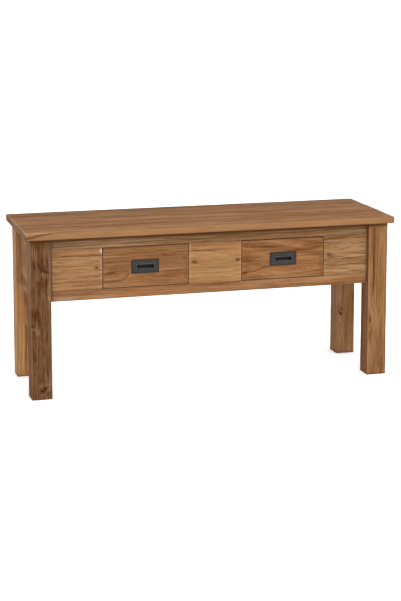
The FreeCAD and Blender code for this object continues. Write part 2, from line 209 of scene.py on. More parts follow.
def board(name, node, grain, mat, add=None, cut=(), r=1.6, step=(5, 5, 5), fine=((), (), ()),
          pith=(160.0, 120.0), tilt=(0.0, 0.0), wob=((7.0, 330.0, 60.0), (1.6, 120.0, 22.0)),
          knots=(), pits=(), cracks=(), paint=(), dirt=(), wear=0.35, seed=1.0, grow=0.0,
          relief=0.22, field=None, body=None, warp=0.5, shape=None, chips=(), lines=(), calm=(), lk=1.0):
    """A board that stands for a CAD node. Sizes in millimetres in the row frame.

    add    boxes that make the solid (default: the node's box); cut: boxes taken out
    pith   where the middle of the trunk lies, from the board's middle, across the grain
    tilt   how far the trunk's line leaves the board's, per mm of length
    knots  (x, y, z, ring push, reach along, reach across, core radius)
    cracks ((points), width, depth, darkness)
    paint  (x, y, z, rx, ry, rz, (r, g, b), strength): soft patches of another tone
    dirt (x0, y0, z0, x1, y1, z1, reach, strength): darkening near a box; painted shade in joints, gaps and under the
    seat, and darker feet
    chips  (x, y, z, radius, depth): broken or rubbed spots on an arris
    lines  ((points), half width, (r, g, b), strength): single grain lines drawn one by one
    calm   (x, y, z, rx, ry, rz, strength): where the figure is quiet
    Tones are factors on the colour as it is seen, so 0.5 looks half as bright; a ninth value, True,
    takes the three factors as they are.
    """
    clo, chi = cad(node)
    add = [tuple(map(float, b)) for b in (add or [(*clo, *chi)])]
    lo = np.min([b[:3] for b in add], 0)
    hi = np.max([b[3:] for b in add], 0)
    must = [set(), set(), set()]
    for b in list(add) + list(cut):
        for k in range(3):
            must[k] |= {b[k], b[k + 3]}
    g = [grid_lines(lo[k], hi[k], r, step[k], must[k], fine[k]) for k in range(3)]
    mid = [(a[1:] + a[:-1]) / 2 for a in g]
    MX, MY, MZ = np.meshgrid(*mid, indexing="ij")
    occ = np.zeros(MX.shape, bool)
    for b in add:
        occ |= (MX > b[0]) & (MX < b[3]) & (MY > b[1]) & (MY < b[4]) & (MZ > b[2]) & (MZ < b[5])
    for b in cut:
        occ &= ~((MX > b[0]) & (MX < b[3]) & (MY > b[1]) & (MY < b[4]) & (MZ > b[2]) & (MZ < b[5]))
    P, quads = cells_mesh(g[0], g[1], g[2], occ)

    ui, vi, wi = AX[grain]
    N = len(P)
    # the arris: rounder where the hand and the floor have rubbed it
    S = P.copy()
    scale = np.array([42.0, 42.0, 42.0])
    scale[ui] = 70.0
    rr = r * np.clip(0.78 + wear * fbm(S / scale, seed + 3.3, 2) + 0.22, 0.35, 1.0)
    lo_r, hi_r = lo + 0 * rr[:, None] + rr[:, None], hi - rr[:, None]
    inner = np.minimum(np.maximum(P, lo_r), hi_r)
    d = P - inner
    dn = np.linalg.norm(d, axis=1)
    dm = np.abs(d).max(1)
    k = np.where(dn > 1e-9, dm / np.maximum(dn, 1e-9), 1.0)
    out = inner + d * k[:, None]
    n = np.where(dn[:, None] > 1e-9, d / np.maximum(dn, 1e-9)[:, None], 0.0)
    surf = np.zeros(N, bool)
    for a in range(3):
        surf |= (np.abs(P[:, a] - lo[a]) < 1e-6) | (np.abs(P[:, a] - hi[a]) < 1e-6)
    amax = np.abs(n).max(1)
    edge = np.clip((1 - amax) / 0.25, 0, 1) * surf
    # distance from the nearest arris, for the wear and painted highlight that run on to the flats
    fd = np.sort(np.minimum(P - lo, hi - P), axis=1)[:, 1]
    near = np.clip(1 - fd / 7.0, 0, 1) * surf
    endg = (np.abs(n[:, ui]) > 0.72) & surf

    # ring field
    c = (lo + hi) / 2
    Q = (P - c)[:, [ui, vi, wi]]
    disp = np.zeros(N)
    v = Q[:, 1] - pith[0] - tilt[0] * Q[:, 0]
    w = Q[:, 2] - pith[1] - tilt[1] * Q[:, 0]
    ring = np.sqrt(v * v + w * w)
    for q, (amp, lu, lv) in enumerate(wob):
        ring = ring + amp * fbm(Q / np.array([lu, lv, lv]), seed + 7.7 * q, 2)
    kmask = np.zeros(N)
    for kx, ky, kz, push, au, av, core in knots:
        e = P - np.array([kx, ky, kz])
        de = np.stack([e[:, ui] / au, e[:, vi] / av, e[:, wi] / av], 1)
        q2 = (de ** 2).sum(1)
        ring = ring + push * np.exp(-q2)
        if core > 0:
            dc = np.sqrt((e[:, ui] / (core * 1.35)) ** 2 + (e[:, vi] / core) ** 2 + (e[:, wi] / core) ** 2)
            dc = dc * (1 + 0.25 * pn(P / 6.0, seed + 5))
            kmask = np.maximum(kmask, np.clip(1.25 - dc, 0, 1))
            disp -= 0.5 * np.exp(-(dc / 0.8) ** 2)
    if field is not None:
        ring = field(P, ring)

    # relief: long low swells, a little raised grain, cracks, pits and chips
    soft = np.clip(1 - edge * 0.6, 0, 1)
    disp += relief * fbm(Q / np.array([160.0, 28.0, 28.0]), seed + 2.2, 2) * soft - relief * 0.6
    disp += 0.10 * pn(Q / np.array([60.0, 3.4, 3.4]), seed + 4.4) * soft
    shade_dirt_mask = np.zeros(N)
    for pts, width, depth, dark in cracks:
        best = np.full(N, 1e9)
        for a, b in zip(pts[:-1], pts[1:]):
            dd, t = seg_dist(P, a, b)
            best = np.minimum(best, dd)
        best = np.maximum(best + 0.35 * width * pn(P / 5.0, seed + 9), 0)
        dist_end = np.minimum(np.linalg.norm(P - np.array(pts[0]), axis=1),
                              np.linalg.norm(P - np.array(pts[-1]), axis=1))
        fade = np.clip(dist_end / 12.0, 0.15, 1)
        disp -= depth * np.exp(-(best / width) ** 2) * fade
        shade_dirt_mask = np.maximum(shade_dirt_mask, dark * np.exp(-(best / (width * 1.15)) ** 2) * np.clip(fade * 1.6, 0, 1))
    for px, py, pz, rad, depth in pits:
        e = np.linalg.norm(P - np.array([px, py, pz]), axis=1) * (1 + 0.3 * pn(P / 4.0, seed + 8))
        disp -= depth * np.exp(-(e / rad) ** 2)
    bare = np.zeros(N)
    for px, py, pz, rad, depth in chips:
        e = (P - np.array([px, py, pz]))
        e[:, ui] *= 0.45
        e = np.linalg.norm(e, axis=1) * (1 + 0.35 * pn(P / 4.0, seed + 6))
        q = np.exp(-(e / rad) ** 2)
        disp -= depth * q
        bare = np.maximum(bare, q)
    disp = np.where(surf, disp, 0.0)
    out = out + n * disp[:, None]
    if shape is not None:
        out = shape(P, out, n)
    if grow:
        out = c + (out - c) * (1 + grow)

    # tone patches
    tint = np.ones((N, 3))
    sw = np.array([9.0, 9.0, 9.0])
    sw[ui] = 45.0
    wn = fbm(P / sw, seed + 1.7, 2)
    wn2 = fbm(P / sw, seed + 12.7, 2)
    base = np.array(BASES.get(mat.name, (150, 110, 70)), float)

    def seen(col):
        """A tone moves the three channels by the same step; its own hue counts for half."""
        m = float(np.mean(col))
        out = base + (m - 1.0) * base @ np.array([0.3, 0.59, 0.11]) + 0.55 * (np.array(col) - m) * base
        return np.clip(out / base, 0.22, 3.0)

    for px, py, pz, rx, ry, rz, col, s, *own in paint:
        col = np.array(col) if own else seen(col)
        e = (P - np.array([px, py, pz])) / np.array([rx, ry, rz])
        q = np.sqrt((e ** 2).sum(1))
        q = q * (1 + warp * wn) + 0.16 * wn2
        m = s * np.exp(-np.clip(q, 0, None) ** 2.6)
        tint = tint * (1 - m[:, None]) + tint * np.array(col) ** 2.2 * m[:, None]
    wl = fbm(P / np.array([16.0, 16.0, 16.0]), seed + 15.1, 2)
    for pts, width, col, s in lines:
        best = np.full(N, 1e9)
        for a, b in zip(pts[:-1], pts[1:]):
            dd, _ = seg_dist(P, a, b)
            best = np.minimum(best, dd)
        ends = np.minimum(np.linalg.norm(P - np.array(pts[0]), axis=1), np.linalg.norm(P - np.array(pts[-1]), axis=1))
        best = best * (1 + 0.35 * wl) + 0.25 * width * wn2
        m = s * np.exp(-(np.clip(best, 0, None) / width) ** 2.2) * np.clip(0.35 + ends / (width * 6), 0, 1)
        tint = tint * (1 - m[:, None]) + tint * seen(1 - (1 - np.array(col)) * lk) ** 2.2 * m[:, None]
    # darkening near each box: painted shade in joints, gaps and under the seat, and darker feet
    for x0, y0, z0, x1, y1, z1, reach, s in dirt:
        e = np.maximum(np.maximum(np.array([x0, y0, z0]) - P, P - np.array([x1, y1, z1])), 0)
        e = np.linalg.norm(e, axis=1) * (1 + 0.35 * wn)
        shade_dirt_mask = np.maximum(shade_dirt_mask, s * np.exp(-(e / reach) ** 2))
    quiet = np.zeros(N)
    for px, py, pz, rx, ry, rz, s in calm:
        e = (P - np.array([px, py, pz])) / np.array([rx, ry, rz])
        quiet = np.maximum(quiet, s * np.exp(-(e ** 2).sum(1) ** 2))
    # arrises and chips: wear, with painted highlight along the arrises
    wear_and_highlight_mask = np.clip(edge * 0.9 + 0.35 * near * (fbm(P / 9.0, seed + 22, 2) + 0.35), 0, 1)
    wear_and_highlight_mask = np.maximum(wear_and_highlight_mask, bare)

    ob = new_object(name, out * MM, quads)
    me = ob.data
    set_float(me, "ring", ring)
    set_float(me, "calm", quiet)
    set_colour(me, "tint", np.c_[tint, np.ones(N)])
    set_colour(me, "mask", np.c_[kmask, wear_and_highlight_mask, endg.astype(float), np.clip(shade_dirt_mask, 0, 1)])
    me.materials.append(mat)
    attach(ob, body or BODY_OF[node])
    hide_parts(node)
    return ob


# ---------------------------------------------------------------------------
# Materials
# ---------------------------------------------------------------------------
BASES = {}
EXPO = 0.74          # the studio's light is strong enough to burn the floor out; the woods are set down by as much


def lin(c):
    return tuple(EXPO * a for a in srgb(c))


class Tree:
    def __init__(self, name):
        self.m = bpy.data.materials.new(name)
        self.m.use_nodes = True
        self.t = self.m.node_tree
        self.t.nodes.clear()
        self.out = self.t.nodes.new("ShaderNodeOutputMaterial")
        self.p = self.t.nodes.new("ShaderNodeBsdfPrincipled")
        self.t.links.new(self.p.outputs[0], self.out.inputs[0])

    def node(self, kind, **kw):
        n = self.t.nodes.new(kind)
        for k, v in kw.items():
            setattr(n, k, v)
        return n

    def put(self, sock, v):
        if isinstance(v, bpy.types.NodeSocket):
            self.t.links.new(v, sock)
        elif isinstance(v, (tuple, list)) and len(v) == 3 and sock.type == "RGBA":
            sock.default_value = (*v, 1.0)
        else:
            sock.default_value = v

    def math(self, op, a, b=0.0, c=None, clamp=False):
        n = self.node("ShaderNodeMath", operation=op, use_clamp=clamp)
        self.put(n.inputs[0], a)
        self.put(n.inputs[1], b)
        if c is not None:
            self.put(n.inputs[2], c)
        return n.outputs[0]

    def vmath(self, op, a, b=(0, 0, 0)):
        n = self.node("ShaderNodeVectorMath", operation=op)
        self.put(n.inputs[0], a)
        self.put(n.inputs[1], b)
        return n.outputs[0]

    def ramp(self, fac, stops, ease="EASE"):
        n = self.node("ShaderNodeValToRGB")
        cr = n.color_ramp
        cr.interpolation = ease
        while len(cr.elements) < len(stops):
            cr.elements.new(0.5)
        for e, (pos, col) in zip(cr.elements, stops):
            e.position = pos
            e.color = (col, col, col, 1) if isinstance(col, (int, float)) else (*col, 1)
        self.put(n.inputs[0], fac)
        return n.outputs[0]

    def mix(self, fac, a, b, mode="MIX"):
        n = self.node("ShaderNodeMix", data_type="RGBA", blend_type=mode)
        self.put(n.inputs[0], fac)
        self.put(n.inputs[6], a)
        self.put(n.inputs[7], b)
        return n.outputs[2]

    def noise(self, vec, scale=1.0, detail=2.0, rough=0.5, dist=0.0):
        n = self.node("ShaderNodeTexNoise")
        self.put(n.inputs["Vector"], vec)
        n.inputs["Scale"].default_value = scale
        n.inputs["Detail"].default_value = detail
        n.inputs["Roughness"].default_value = rough
        n.inputs["Distortion"].default_value = dist
        return n.outputs["Fac"]

    def attr(self, name):
        n = self.node("ShaderNodeAttribute", attribute_name=name)
        return n


def stretched(t, co, grain, along, across, off=(0, 0, 0)):
    """Object coordinates scaled so that one unit is `along` mm on the grain and `across` mm across it."""
    s = [1000.0 / across] * 3
    s[AX[grain][0]] = 1000.0 / along
    v = t.vmath("MULTIPLY", co, tuple(s))
    return t.vmath("ADD", v, off)


def wood(name, grain, base, d=44, spacing=5.5, late=0.6, streak=0.40, fibre=0.24, pores=0.30, wide=1.0,
         blotch=0.28, warm=(1.06, 0.985, 0.93), cool=(0.96, 0.99, 1.0), rough=(0.50, 0.66),
         seed=1.0, attrs=True, bump=0.5, edge_col=(196, 164, 130), knot_col=(84, 52, 26),
         shade_dirt_col=(80, 47, 22), edge=0.5, pith=(0.18, 0.12), centre=(0, 0, 0), spec=0.03, short=1.0):
    t = Tree(name)
    BASES[name] = base
    light = tuple(min(250, v + 0.8 * d) for v in base)
    dark = tuple(max(6, v - k * d) for v, k in zip(base, (1.25, 1.2, 1.05)))
    co = t.node("ShaderNodeTexCoord").outputs["Object"]
    off = (seed * 3.17, seed * 7.31, seed * 1.93)
    n_wave = t.noise(stretched(t, co, grain, 110, 9 * wide, off), detail=1.5)
    n_str = t.noise(stretched(t, co, grain, 250 * short, 4.6 * wide, off), detail=3.5, rough=0.62)
    n_str2 = t.noise(stretched(t, co, grain, 85 * short, 2.5 * wide, off), detail=3, rough=0.62)
    n_mic = t.noise(stretched(t, co, grain, 26, 0.8, off), detail=2)
    n_blot = t.noise(stretched(t, co, grain, 170 * short, 40, off), detail=2.5)
    n_hue = t.noise(stretched(t, co, grain, 85, 17, tuple(x + 40 for x in off)), detail=2.5)
    n_fade = t.noise(stretched(t, co, grain, 150, 11 * wide, tuple(x + 70 for x in off)), detail=1.5)
    n_pore = t.noise(stretched(t, co, grain, 7.5, 0.55, off), detail=1.5)
    if attrs:
        ring = t.attr("ring").outputs["Fac"]
    else:
        p = t.vmath("MULTIPLY", t.vmath("SUBTRACT", co, tuple(centre)), (1000, 1000, 1000))
        sep = t.node("ShaderNodeSeparateXYZ")
        t.put(sep.inputs[0], p)
        ui, vi, wi = AX[grain]
        dv = t.math("ADD", sep.outputs[vi], pith[0] * 1000)
        dw = t.math("ADD", sep.outputs[wi], pith[1] * 1000)
        ring = t.math("SQRT", t.math("ADD", t.math("MULTIPLY", dv, dv), t.math("MULTIPLY", dw, dw)))
        wb = t.noise(stretched(t, co, grain, 260, 55, off), detail=1)
        ring = t.math("ADD", ring, t.math("MULTIPLY", wb, 16.0))
    jit = t.math("MULTIPLY", t.math("SUBTRACT", n_wave, 0.5), spacing * 0.9)
    jit = t.math("ADD", jit, t.math("MULTIPLY", t.math("SUBTRACT", n_str2, 0.5), spacing * 0.16))
    tt = t.math("DIVIDE", t.math("ADD", ring, jit), spacing)
    fr = t.math("FRACT", tt)
    rid = t.math("FLOOR", tt)
    wn = t.node("ShaderNodeTexWhiteNoise", noise_dimensions="1D")
    t.put(wn.inputs["W"], t.math("ADD", rid, seed * 13.0))
    rvar = t.math("POWER", wn.outputs["Value"], 1.5)
    line = t.ramp(fr, [(0.0, 0.0), (0.50, 0.06), (0.78, 0.34), (0.92, 1.0), (0.97, 0.8), (1.0, 0.0)], "LINEAR")
    amt = t.math("MULTIPLY", line, t.math("ADD", t.math("MULTIPLY", rvar, 1.0), 0.14))
    amt = t.math("MULTIPLY", amt, t.ramp(n_fade, [(0.32, 0.30), (0.60, 1.15)], "LINEAR"))
    # a slower band under the rings, so that some years are darker than others
    wn2 = t.node("ShaderNodeTexNoise", noise_dimensions="1D")
    t.put(wn2.inputs["W"], t.math("ADD", t.math("MULTIPLY", tt, 0.37), seed * 5.0))
    wn2.inputs["Scale"].default_value = 1.0
    wn2.inputs["Detail"].default_value = 2.0
    band = wn2.outputs["Fac"]
    tone = t.math("ADD", t.math("MULTIPLY", t.math("SUBTRACT", n_str, 0.5), streak * 2.2),
                  t.math("MULTIPLY", t.math("SUBTRACT", band, 0.5), streak * 1.7))
    tone = t.math("ADD", tone, t.math("MULTIPLY", t.math("SUBTRACT", n_blot, 0.5), blotch * 1.6))
    tone = t.math("ADD", tone, t.math("MULTIPLY", t.math("SUBTRACT", n_str2, 0.5), fibre * 4.6))
    tone = t.math("ADD", tone, t.math("MULTIPLY", t.math("SUBTRACT", n_mic, 0.5), 0.55))
    if attrs:
        still = t.math("SUBTRACT", 1.0, t.attr("calm").outputs["Fac"])
        tone = t.math("MULTIPLY", tone, still)
        amt = t.math("MULTIPLY", amt, still)
    tone = t.math("ADD", tone, 0.5, clamp=True)
    col = t.ramp(tone, [(0.0, lin(dark)), (0.5, lin(base)), (1.0, lin(light))], "LINEAR")
    col = t.mix(t.math("MULTIPLY", amt, late), col, lin(dark))
    col = t.mix(t.ramp(n_hue, [(0.40, 0.0), (0.68, 0.75)]), col, t.mix(1.0, col, warm, "MULTIPLY"))
    col = t.mix(t.ramp(n_hue, [(0.32, 0.8), (0.52, 0.0)]), col, t.mix(1.0, col, cool, "MULTIPLY"))
    pm = t.ramp(n_pore, [(0.30, 1.0), (0.41, 0.0)], "LINEAR")
    col = t.mix(t.math("MULTIPLY", pm, pores), col, lin(dark))
    rough_v = t.math("ADD", t.math("MULTIPLY", n_str2, rough[1] - rough[0]), rough[0])
    height = t.math("ADD", t.math("MULTIPLY", amt, -0.35), t.math("MULTIPLY", n_str2, 0.9))
    height = t.math("SUBTRACT", height, t.math("MULTIPLY", pm, 0.9))
    if attrs:
        mk = t.attr("mask")
        sp = t.node("ShaderNodeSeparateColor")
        t.put(sp.inputs[0], mk.outputs["Color"])
        k_, e_, g_ = sp.outputs[0], sp.outputs[1], sp.outputs[2]
        dirt = mk.outputs["Alpha"]
        col = t.mix(1.0, col, t.attr("tint").outputs["Color"], "MULTIPLY")
        # knot: dark heart with fine checks
        col = t.mix(t.ramp(k_, [(0.05, 0.0), (0.55, 0.9)]), col, lin(knot_col))
        # end grain: darker, with the pores seen end on
        dots = t.noise(t.vmath("MULTIPLY", co, (700, 700, 700)), detail=1)
        ecol = t.mix(t.ramp(dots, [(0.36, 0.85), (0.52, 0.0)]), t.mix(1.0, col, (0.80, 0.78, 0.78), "MULTIPLY"), lin(dark))
        col = t.mix(t.math("MULTIPLY", g_, 0.85), col, ecol)
        # arris colour: rubbed wear together with painted highlight
        wnz = t.noise(stretched(t, co, grain, 38, 9, off), detail=2.5)
        em = t.math("MULTIPLY", t.math("MULTIPLY", e_, t.ramp(wnz, [(0.30, 0.35), (0.60, 1.0)])), edge)
        col = t.mix(em, col, lin(edge_col))
        rough_v = t.math("ADD", rough_v, t.math("MULTIPLY", em, 0.10))
        # painted shade in joints, gaps and under the seat, with darker cracks and feet
        col = t.mix(t.math("MULTIPLY", dirt, 0.92), col, lin(shade_dirt_col))
        rough_v = t.math("ADD", rough_v, t.math("MULTIPLY", dirt, 0.2), clamp=True)
    t.put(t.p.inputs["Base Color"], col)
    t.put(t.p.inputs["Roughness"], rough_v)
    b = t.node("ShaderNodeBump")
    b.inputs["Strength"].default_value = bump
    b.inputs["Distance"].default_value = 0.0006
    t.put(b.inputs["Height"], height)
    t.put(t.p.inputs["Normal"], b.outputs[0])
    t.p.inputs["Specular IOR Level"].default_value = spec
    return t.m


def iron(name, seed=1.0, attrs=True):
    t = Tree(name)
    co = t.node("ShaderNodeTexCoord").outputs["Object"]
    o = (seed * 3.1, seed * 1.7, seed * 2.3)
    big = t.noise(t.vmath("ADD", t.vmath("MULTIPLY", co, (70, 70, 70)), o), detail=3)
    fine = t.noise(t.vmath("ADD", t.vmath("MULTIPLY", co, (420, 420, 420)), o), detail=3)
    col = t.ramp(big, [(0.25, srgb((25, 22, 20))), (0.5, srgb((33, 31, 29))), (0.75, srgb((44, 45, 45)))])
    rust = t.ramp(t.noise(t.vmath("ADD", t.vmath("MULTIPLY", co, (120, 120, 120)), (9, 4, 2)), detail=4),
                  [(0.52, 0.0), (0.70, 0.8)])
    col = t.mix(rust, col, srgb((48, 36, 28)))
    col = t.mix(t.ramp(fine, [(0.35, 0.5), (0.6, 0.0)]), col, srgb((26, 25, 25)))
    rv = t.math("ADD", t.math("MULTIPLY", fine, 0.25), 0.56)
    if attrs:
        # lighter lip edges: rubbed metal with painted highlight
        e = t.attr("rub_and_highlight").outputs["Fac"]
        em = t.math("MULTIPLY", e, t.ramp(big, [(0.25, 0.45), (0.6, 1.0)]))
        col = t.mix(em, col, srgb((70, 74, 72)))
        rv = t.math("SUBTRACT", rv, t.math("MULTIPLY", em, 0.10))
        # painted shade in the finger slot and cup, and a darker plate rim
        dk = t.attr("slot_shade_dark_rim").outputs["Fac"]
        col = t.mix(dk, col, srgb((24, 17, 12)))
    t.put(t.p.inputs["Base Color"], col)
    t.put(t.p.inputs["Roughness"], rv)
    t.p.inputs["Metallic"].default_value = 0.45
    b = t.node("ShaderNodeBump")
    b.inputs["Strength"].default_value = 0.5
    b.inputs["Distance"].default_value = 0.0004
    t.put(b.inputs["Height"], t.math("ADD", fine, t.math("MULTIPLY", big, 1.5)))
    t.put(t.p.inputs["Normal"], b.outputs[0])
    return t.m


def steel(name):
    t = Tree(name)
    co = t.node("ShaderNodeTexCoord").outputs["Object"]
    n1 = t.noise(t.vmath("MULTIPLY", co, (500, 500, 500)), detail=3)
    t.put(t.p.inputs["Base Color"], t.ramp(n1, [(0.3, (0.30, 0.28, 0.22)), (0.7, (0.62, 0.60, 0.52))]))
    t.put(t.p.inputs["Roughness"], t.math("ADD", t.math("MULTIPLY", n1, 0.3), 0.25))
    t.p.inputs["Metallic"].default_value = 1.0
    return t.m


# ---------------------------------------------------------------------------
# Sizes taken from the CAD frame, in millimetres
# ---------------------------------------------------------------------------
fl, fl2 = cad("front_left_leg")
fr, fr2 = cad("front_right_leg")
rl, rl2 = cad("rear_left_leg")
rr_, rr2 = cad("rear_right_leg")
tr, tr2 = cad("front_top_rail")
br, br2 = cad("front_bottom_rail")
LX1, RX0 = fl2[0], fr[0]
F0, F1 = tr[1], tr2[1]
Z_HI, UND = tr[2], tr2[2]
Z_AB, Z_LO = br[2], br2[2]
TOP = cad("seat_front_board")[1][2]
ra, ra2 = cad("rear_apron")
sal, sal2 = cad("left_side_apron")
sar, sar2 = cad("right_side_apron")
pl, pl2 = cad("front_left_panel")
pm_, pm2 = cad("front_middle_panel")
pr, pr2 = cad("front_right_panel")
GREY = (0.90, 0.97, 1.02)
OLIVE = (0.92, 0.98, 0.90)
RED = (1.10, 0.93, 0.84)
GOLD = (1.14, 1.12, 0.98)
PALE = (1.22, 1.20, 1.14)
DARK = (0.62, 0.56, 0.52)
UMBER = (0.74, 0.66, 0.60)

# ---------------------------------------------------------------------------
# Seat: three boards
# ---------------------------------------------------------------------------
M_SEAT = [
    wood("Teak_Seat_Front", "X", base=(145, 102, 64), d=42, spec=0.03, spacing=11.0, wide=1.9, streak=0.34,
         seed=2.0, rough=(0.60, 0.75), edge_col=(150, 110, 76), edge=0.30),
    wood("Teak_Seat_Middle", "X", base=(147, 104, 65), d=42, spec=0.03, spacing=12.0, wide=1.9, streak=0.32,
         seed=5.0, rough=(0.60, 0.75), edge_col=(140, 104, 74), edge=0.2),
    wood("Teak_Seat_Rear", "X", base=(140, 100, 65), d=42, spec=0.03, spacing=12.0, wide=1.9, streak=0.32,
         seed=8.0, rough=(0.60, 0.75), edge_col=(110, 86, 60), edge=0.35),
]


def round_corner(cx, cy, R, sx, sy):
    """Rounds a board's upright corner in plan; the corner's circle is centred on cx, cy."""
    def f(out):
        dx = (out[:, 0] - cx) * sx
        dy = (out[:, 1] - cy) * sy
        sel = (dx > 0) & (dy > 0)
        m = np.maximum(dx, dy)
        L = np.hypot(dx, dy)
        s = np.where(sel, m / np.maximum(L, 1e-9), 1.0)
        out = out.copy()
        out[:, 0] = np.where(sel, cx + sx * dx * s, out[:, 0])
        out[:, 1] = np.where(sel, cy + sy * dy * s, out[:, 1])
        return out
    return f


def seat_shape(corners, joint_lo=None, joint_hi=None):
    fs = [round_corner(*c) for c in corners]

    def shape(P, out, n):
        for f in fs:
            out = f(out)
        return out
    return shape


s0, s1 = cad("seat_front_board")
board("seat_front_plank", "seat_front_board", "X", M_SEAT[0], r=2.6, step=(7, 4.5, 4.2),
      fine=(((-512, 42, 2.2), (-420, 46, 4.0)), ((-176.5, 4.5, 1.2),), ((473, 7, 1.3),)),
      pith=(-420.0, -150.0), tilt=(0.02, 0.004), wob=((14.0, 420.0, 70.0), (3.2, 130.0, 26.0)),
      knots=[(214, -120, 470, 8, 60, 16, 0), (-170, -104, 470, 6, 50, 12, 0)],
      cracks=[(((-556, -180, 466.5), (-531, -180, 471.5), (-505, -180, 476.5)), 2.8, 2.6, 0.72),
              (((-524, -180, 474), (-500, -180, 477.5), (-470, -178, 480)), 2.9, 1.6, 0.80),
              (((-458, -163, 480), (-425, -157, 480), (-385, -162, 480)), 3.2, 0.4, 0.55)],
      calm=[(0, -184, 470, 3000, 9, 60, 0.72)], warp=0.3,
      paint=[(0, -182, 470, 2000, 4.5, 60, (0.975, 1.015, 1.085), 0.97, True),
             (-440, -183, 468, 150, 6, 12, (1.04, 1.04, 1.03), 0.7), (-470, -172, 480, 90, 9, 6, (1.07, 1.06, 1.04), 0.9), (-340, -160, 480, 130, 30, 6, (1.09, 1.10, 1.02), 0.9),
             (-150, -158, 480, 200, 28, 6, (1.08, 1.08, 1.02), 0.85), (60, -162, 480, 200, 18, 6, (1.07, 1.06, 1.02), 0.85),
             (320, -166, 480, 240, 17, 6, (1.08, 1.08, 0.99), 0.85),
             (-300, -132, 480, 46, 12, 12, (1.12, 1.08, 1.06), 0.85),
             (-30, -152, 480, 60, 12, 12, (0.96, 0.90, 0.84), 0.7),
             (60, -152, 480, 90, 7, 12, (0.93, 0.92, 0.84), 0.7),
             (-360, -98, 480, 190, 18, 20, (0.95, 0.93, 0.93), 0.8), (0, -92, 480, 220, 16, 20, (0.92, 0.89, 0.86), 0.8),
             (400, -90, 480, 130, 24, 20, (0.92, 0.93, 0.92), 0.8), (-300, -108, 480, 60, 7, 20, (0.90, 0.86, 0.84), 0.8),
             (-270, -130, 480, 14, 8, 12, (0.90, 0.86, 0.74), 0.8),
             (-516, -170, 480, 42, 11, 6, (1.26, 1.27, 1.42), 1.0, True),
             (-549, -121, 470, 4, 90, 14, (1.0, 1.05, 1.16), 0.9),
             # the entry at x -547 is a painted highlight along the left end's upper arris
             (-547, -121, 479.5, 3.5, 90, 2.4, (1.22, 1.26, 1.32), 0.9),
             (549, -121, 470, 3, 90, 9, (0.8, 0.78, 0.76), 0.8)],
      # painted shade along the lower arris of the front face
      dirt=[(-560, -181, 455, 560, -175, 461.6, 1.6, 0.45)],
      relief=0.28, wear=0.8, seed=2.0,
      shape=seat_shape([(s0[0] + 6.5, s0[1] + 6.5, 6.5, -1, -1), (s1[0] - 6.0, s0[1] + 6.0, 6.0, 1, -1)]))
m0, m1 = cad("seat_middle_board")
board("seat_middle_plank", "seat_middle_board", "X", M_SEAT[1], r=1.0, step=(8, 4.5, 4.5),
      pith=(260.0, -160.0), tilt=(-0.03, 0.0), wob=((16.0, 420.0, 70.0), (3.0, 140.0, 26.0)),
      knots=[(-140, 40, 470, 10, 80, 20, 0), (90, -16, 470, -7, 70, 18, 0)],
      paint=[(-440, 60, 480, 60, 60, 20, (1.05, 0.98, 0.98), 0.7), (-300, 0, 480, 130, 40, 20, (1.02, 1.01, 1.03), 0.7),
             (-200, 0, 480, 22, 20, 20, (1.0, 1.06, 0.92), 0.8), (-200, 34, 480, 16, 10, 20, (0.88, 0.86, 0.72), 0.8),
             (-140, -28, 480, 16, 9, 20, (0.90, 0.86, 0.74), 0.8), (-490, 20, 480, 40, 8, 20, (0.90, 0.90, 0.80), 0.7),
             (-440, -10, 480, 24, 10, 20, (1.10, 1.0, 1.0), 0.8), (300, -36, 480, 26, 9, 20, (0.90, 0.84, 0.70), 0.8),
             (380, -26, 480, 14, 10, 20, (0.88, 0.84, 0.74), 0.8), (330, -10, 480, 200, 44, 20, (0.93, 0.94, 0.94), 0.7),
             (-330, -44, 480, 90, 8, 20, (0.93, 0.90, 0.84), 0.7), (60, 20, 480, 70, 18, 20, (1.06, 1.02, 1.02), 0.7),
             # the entry at x -547 is a painted highlight along the left end's upper arris
             (-549, 0, 470, 4, 90, 14, (1.0, 1.05, 1.16), 0.9), (-547, 0, 479.5, 3.5, 90, 2.4, (1.22, 1.26, 1.32), 0.9)],
      relief=0.24, wear=0.6, seed=5.0)
e0, e1 = cad("seat_rear_board")
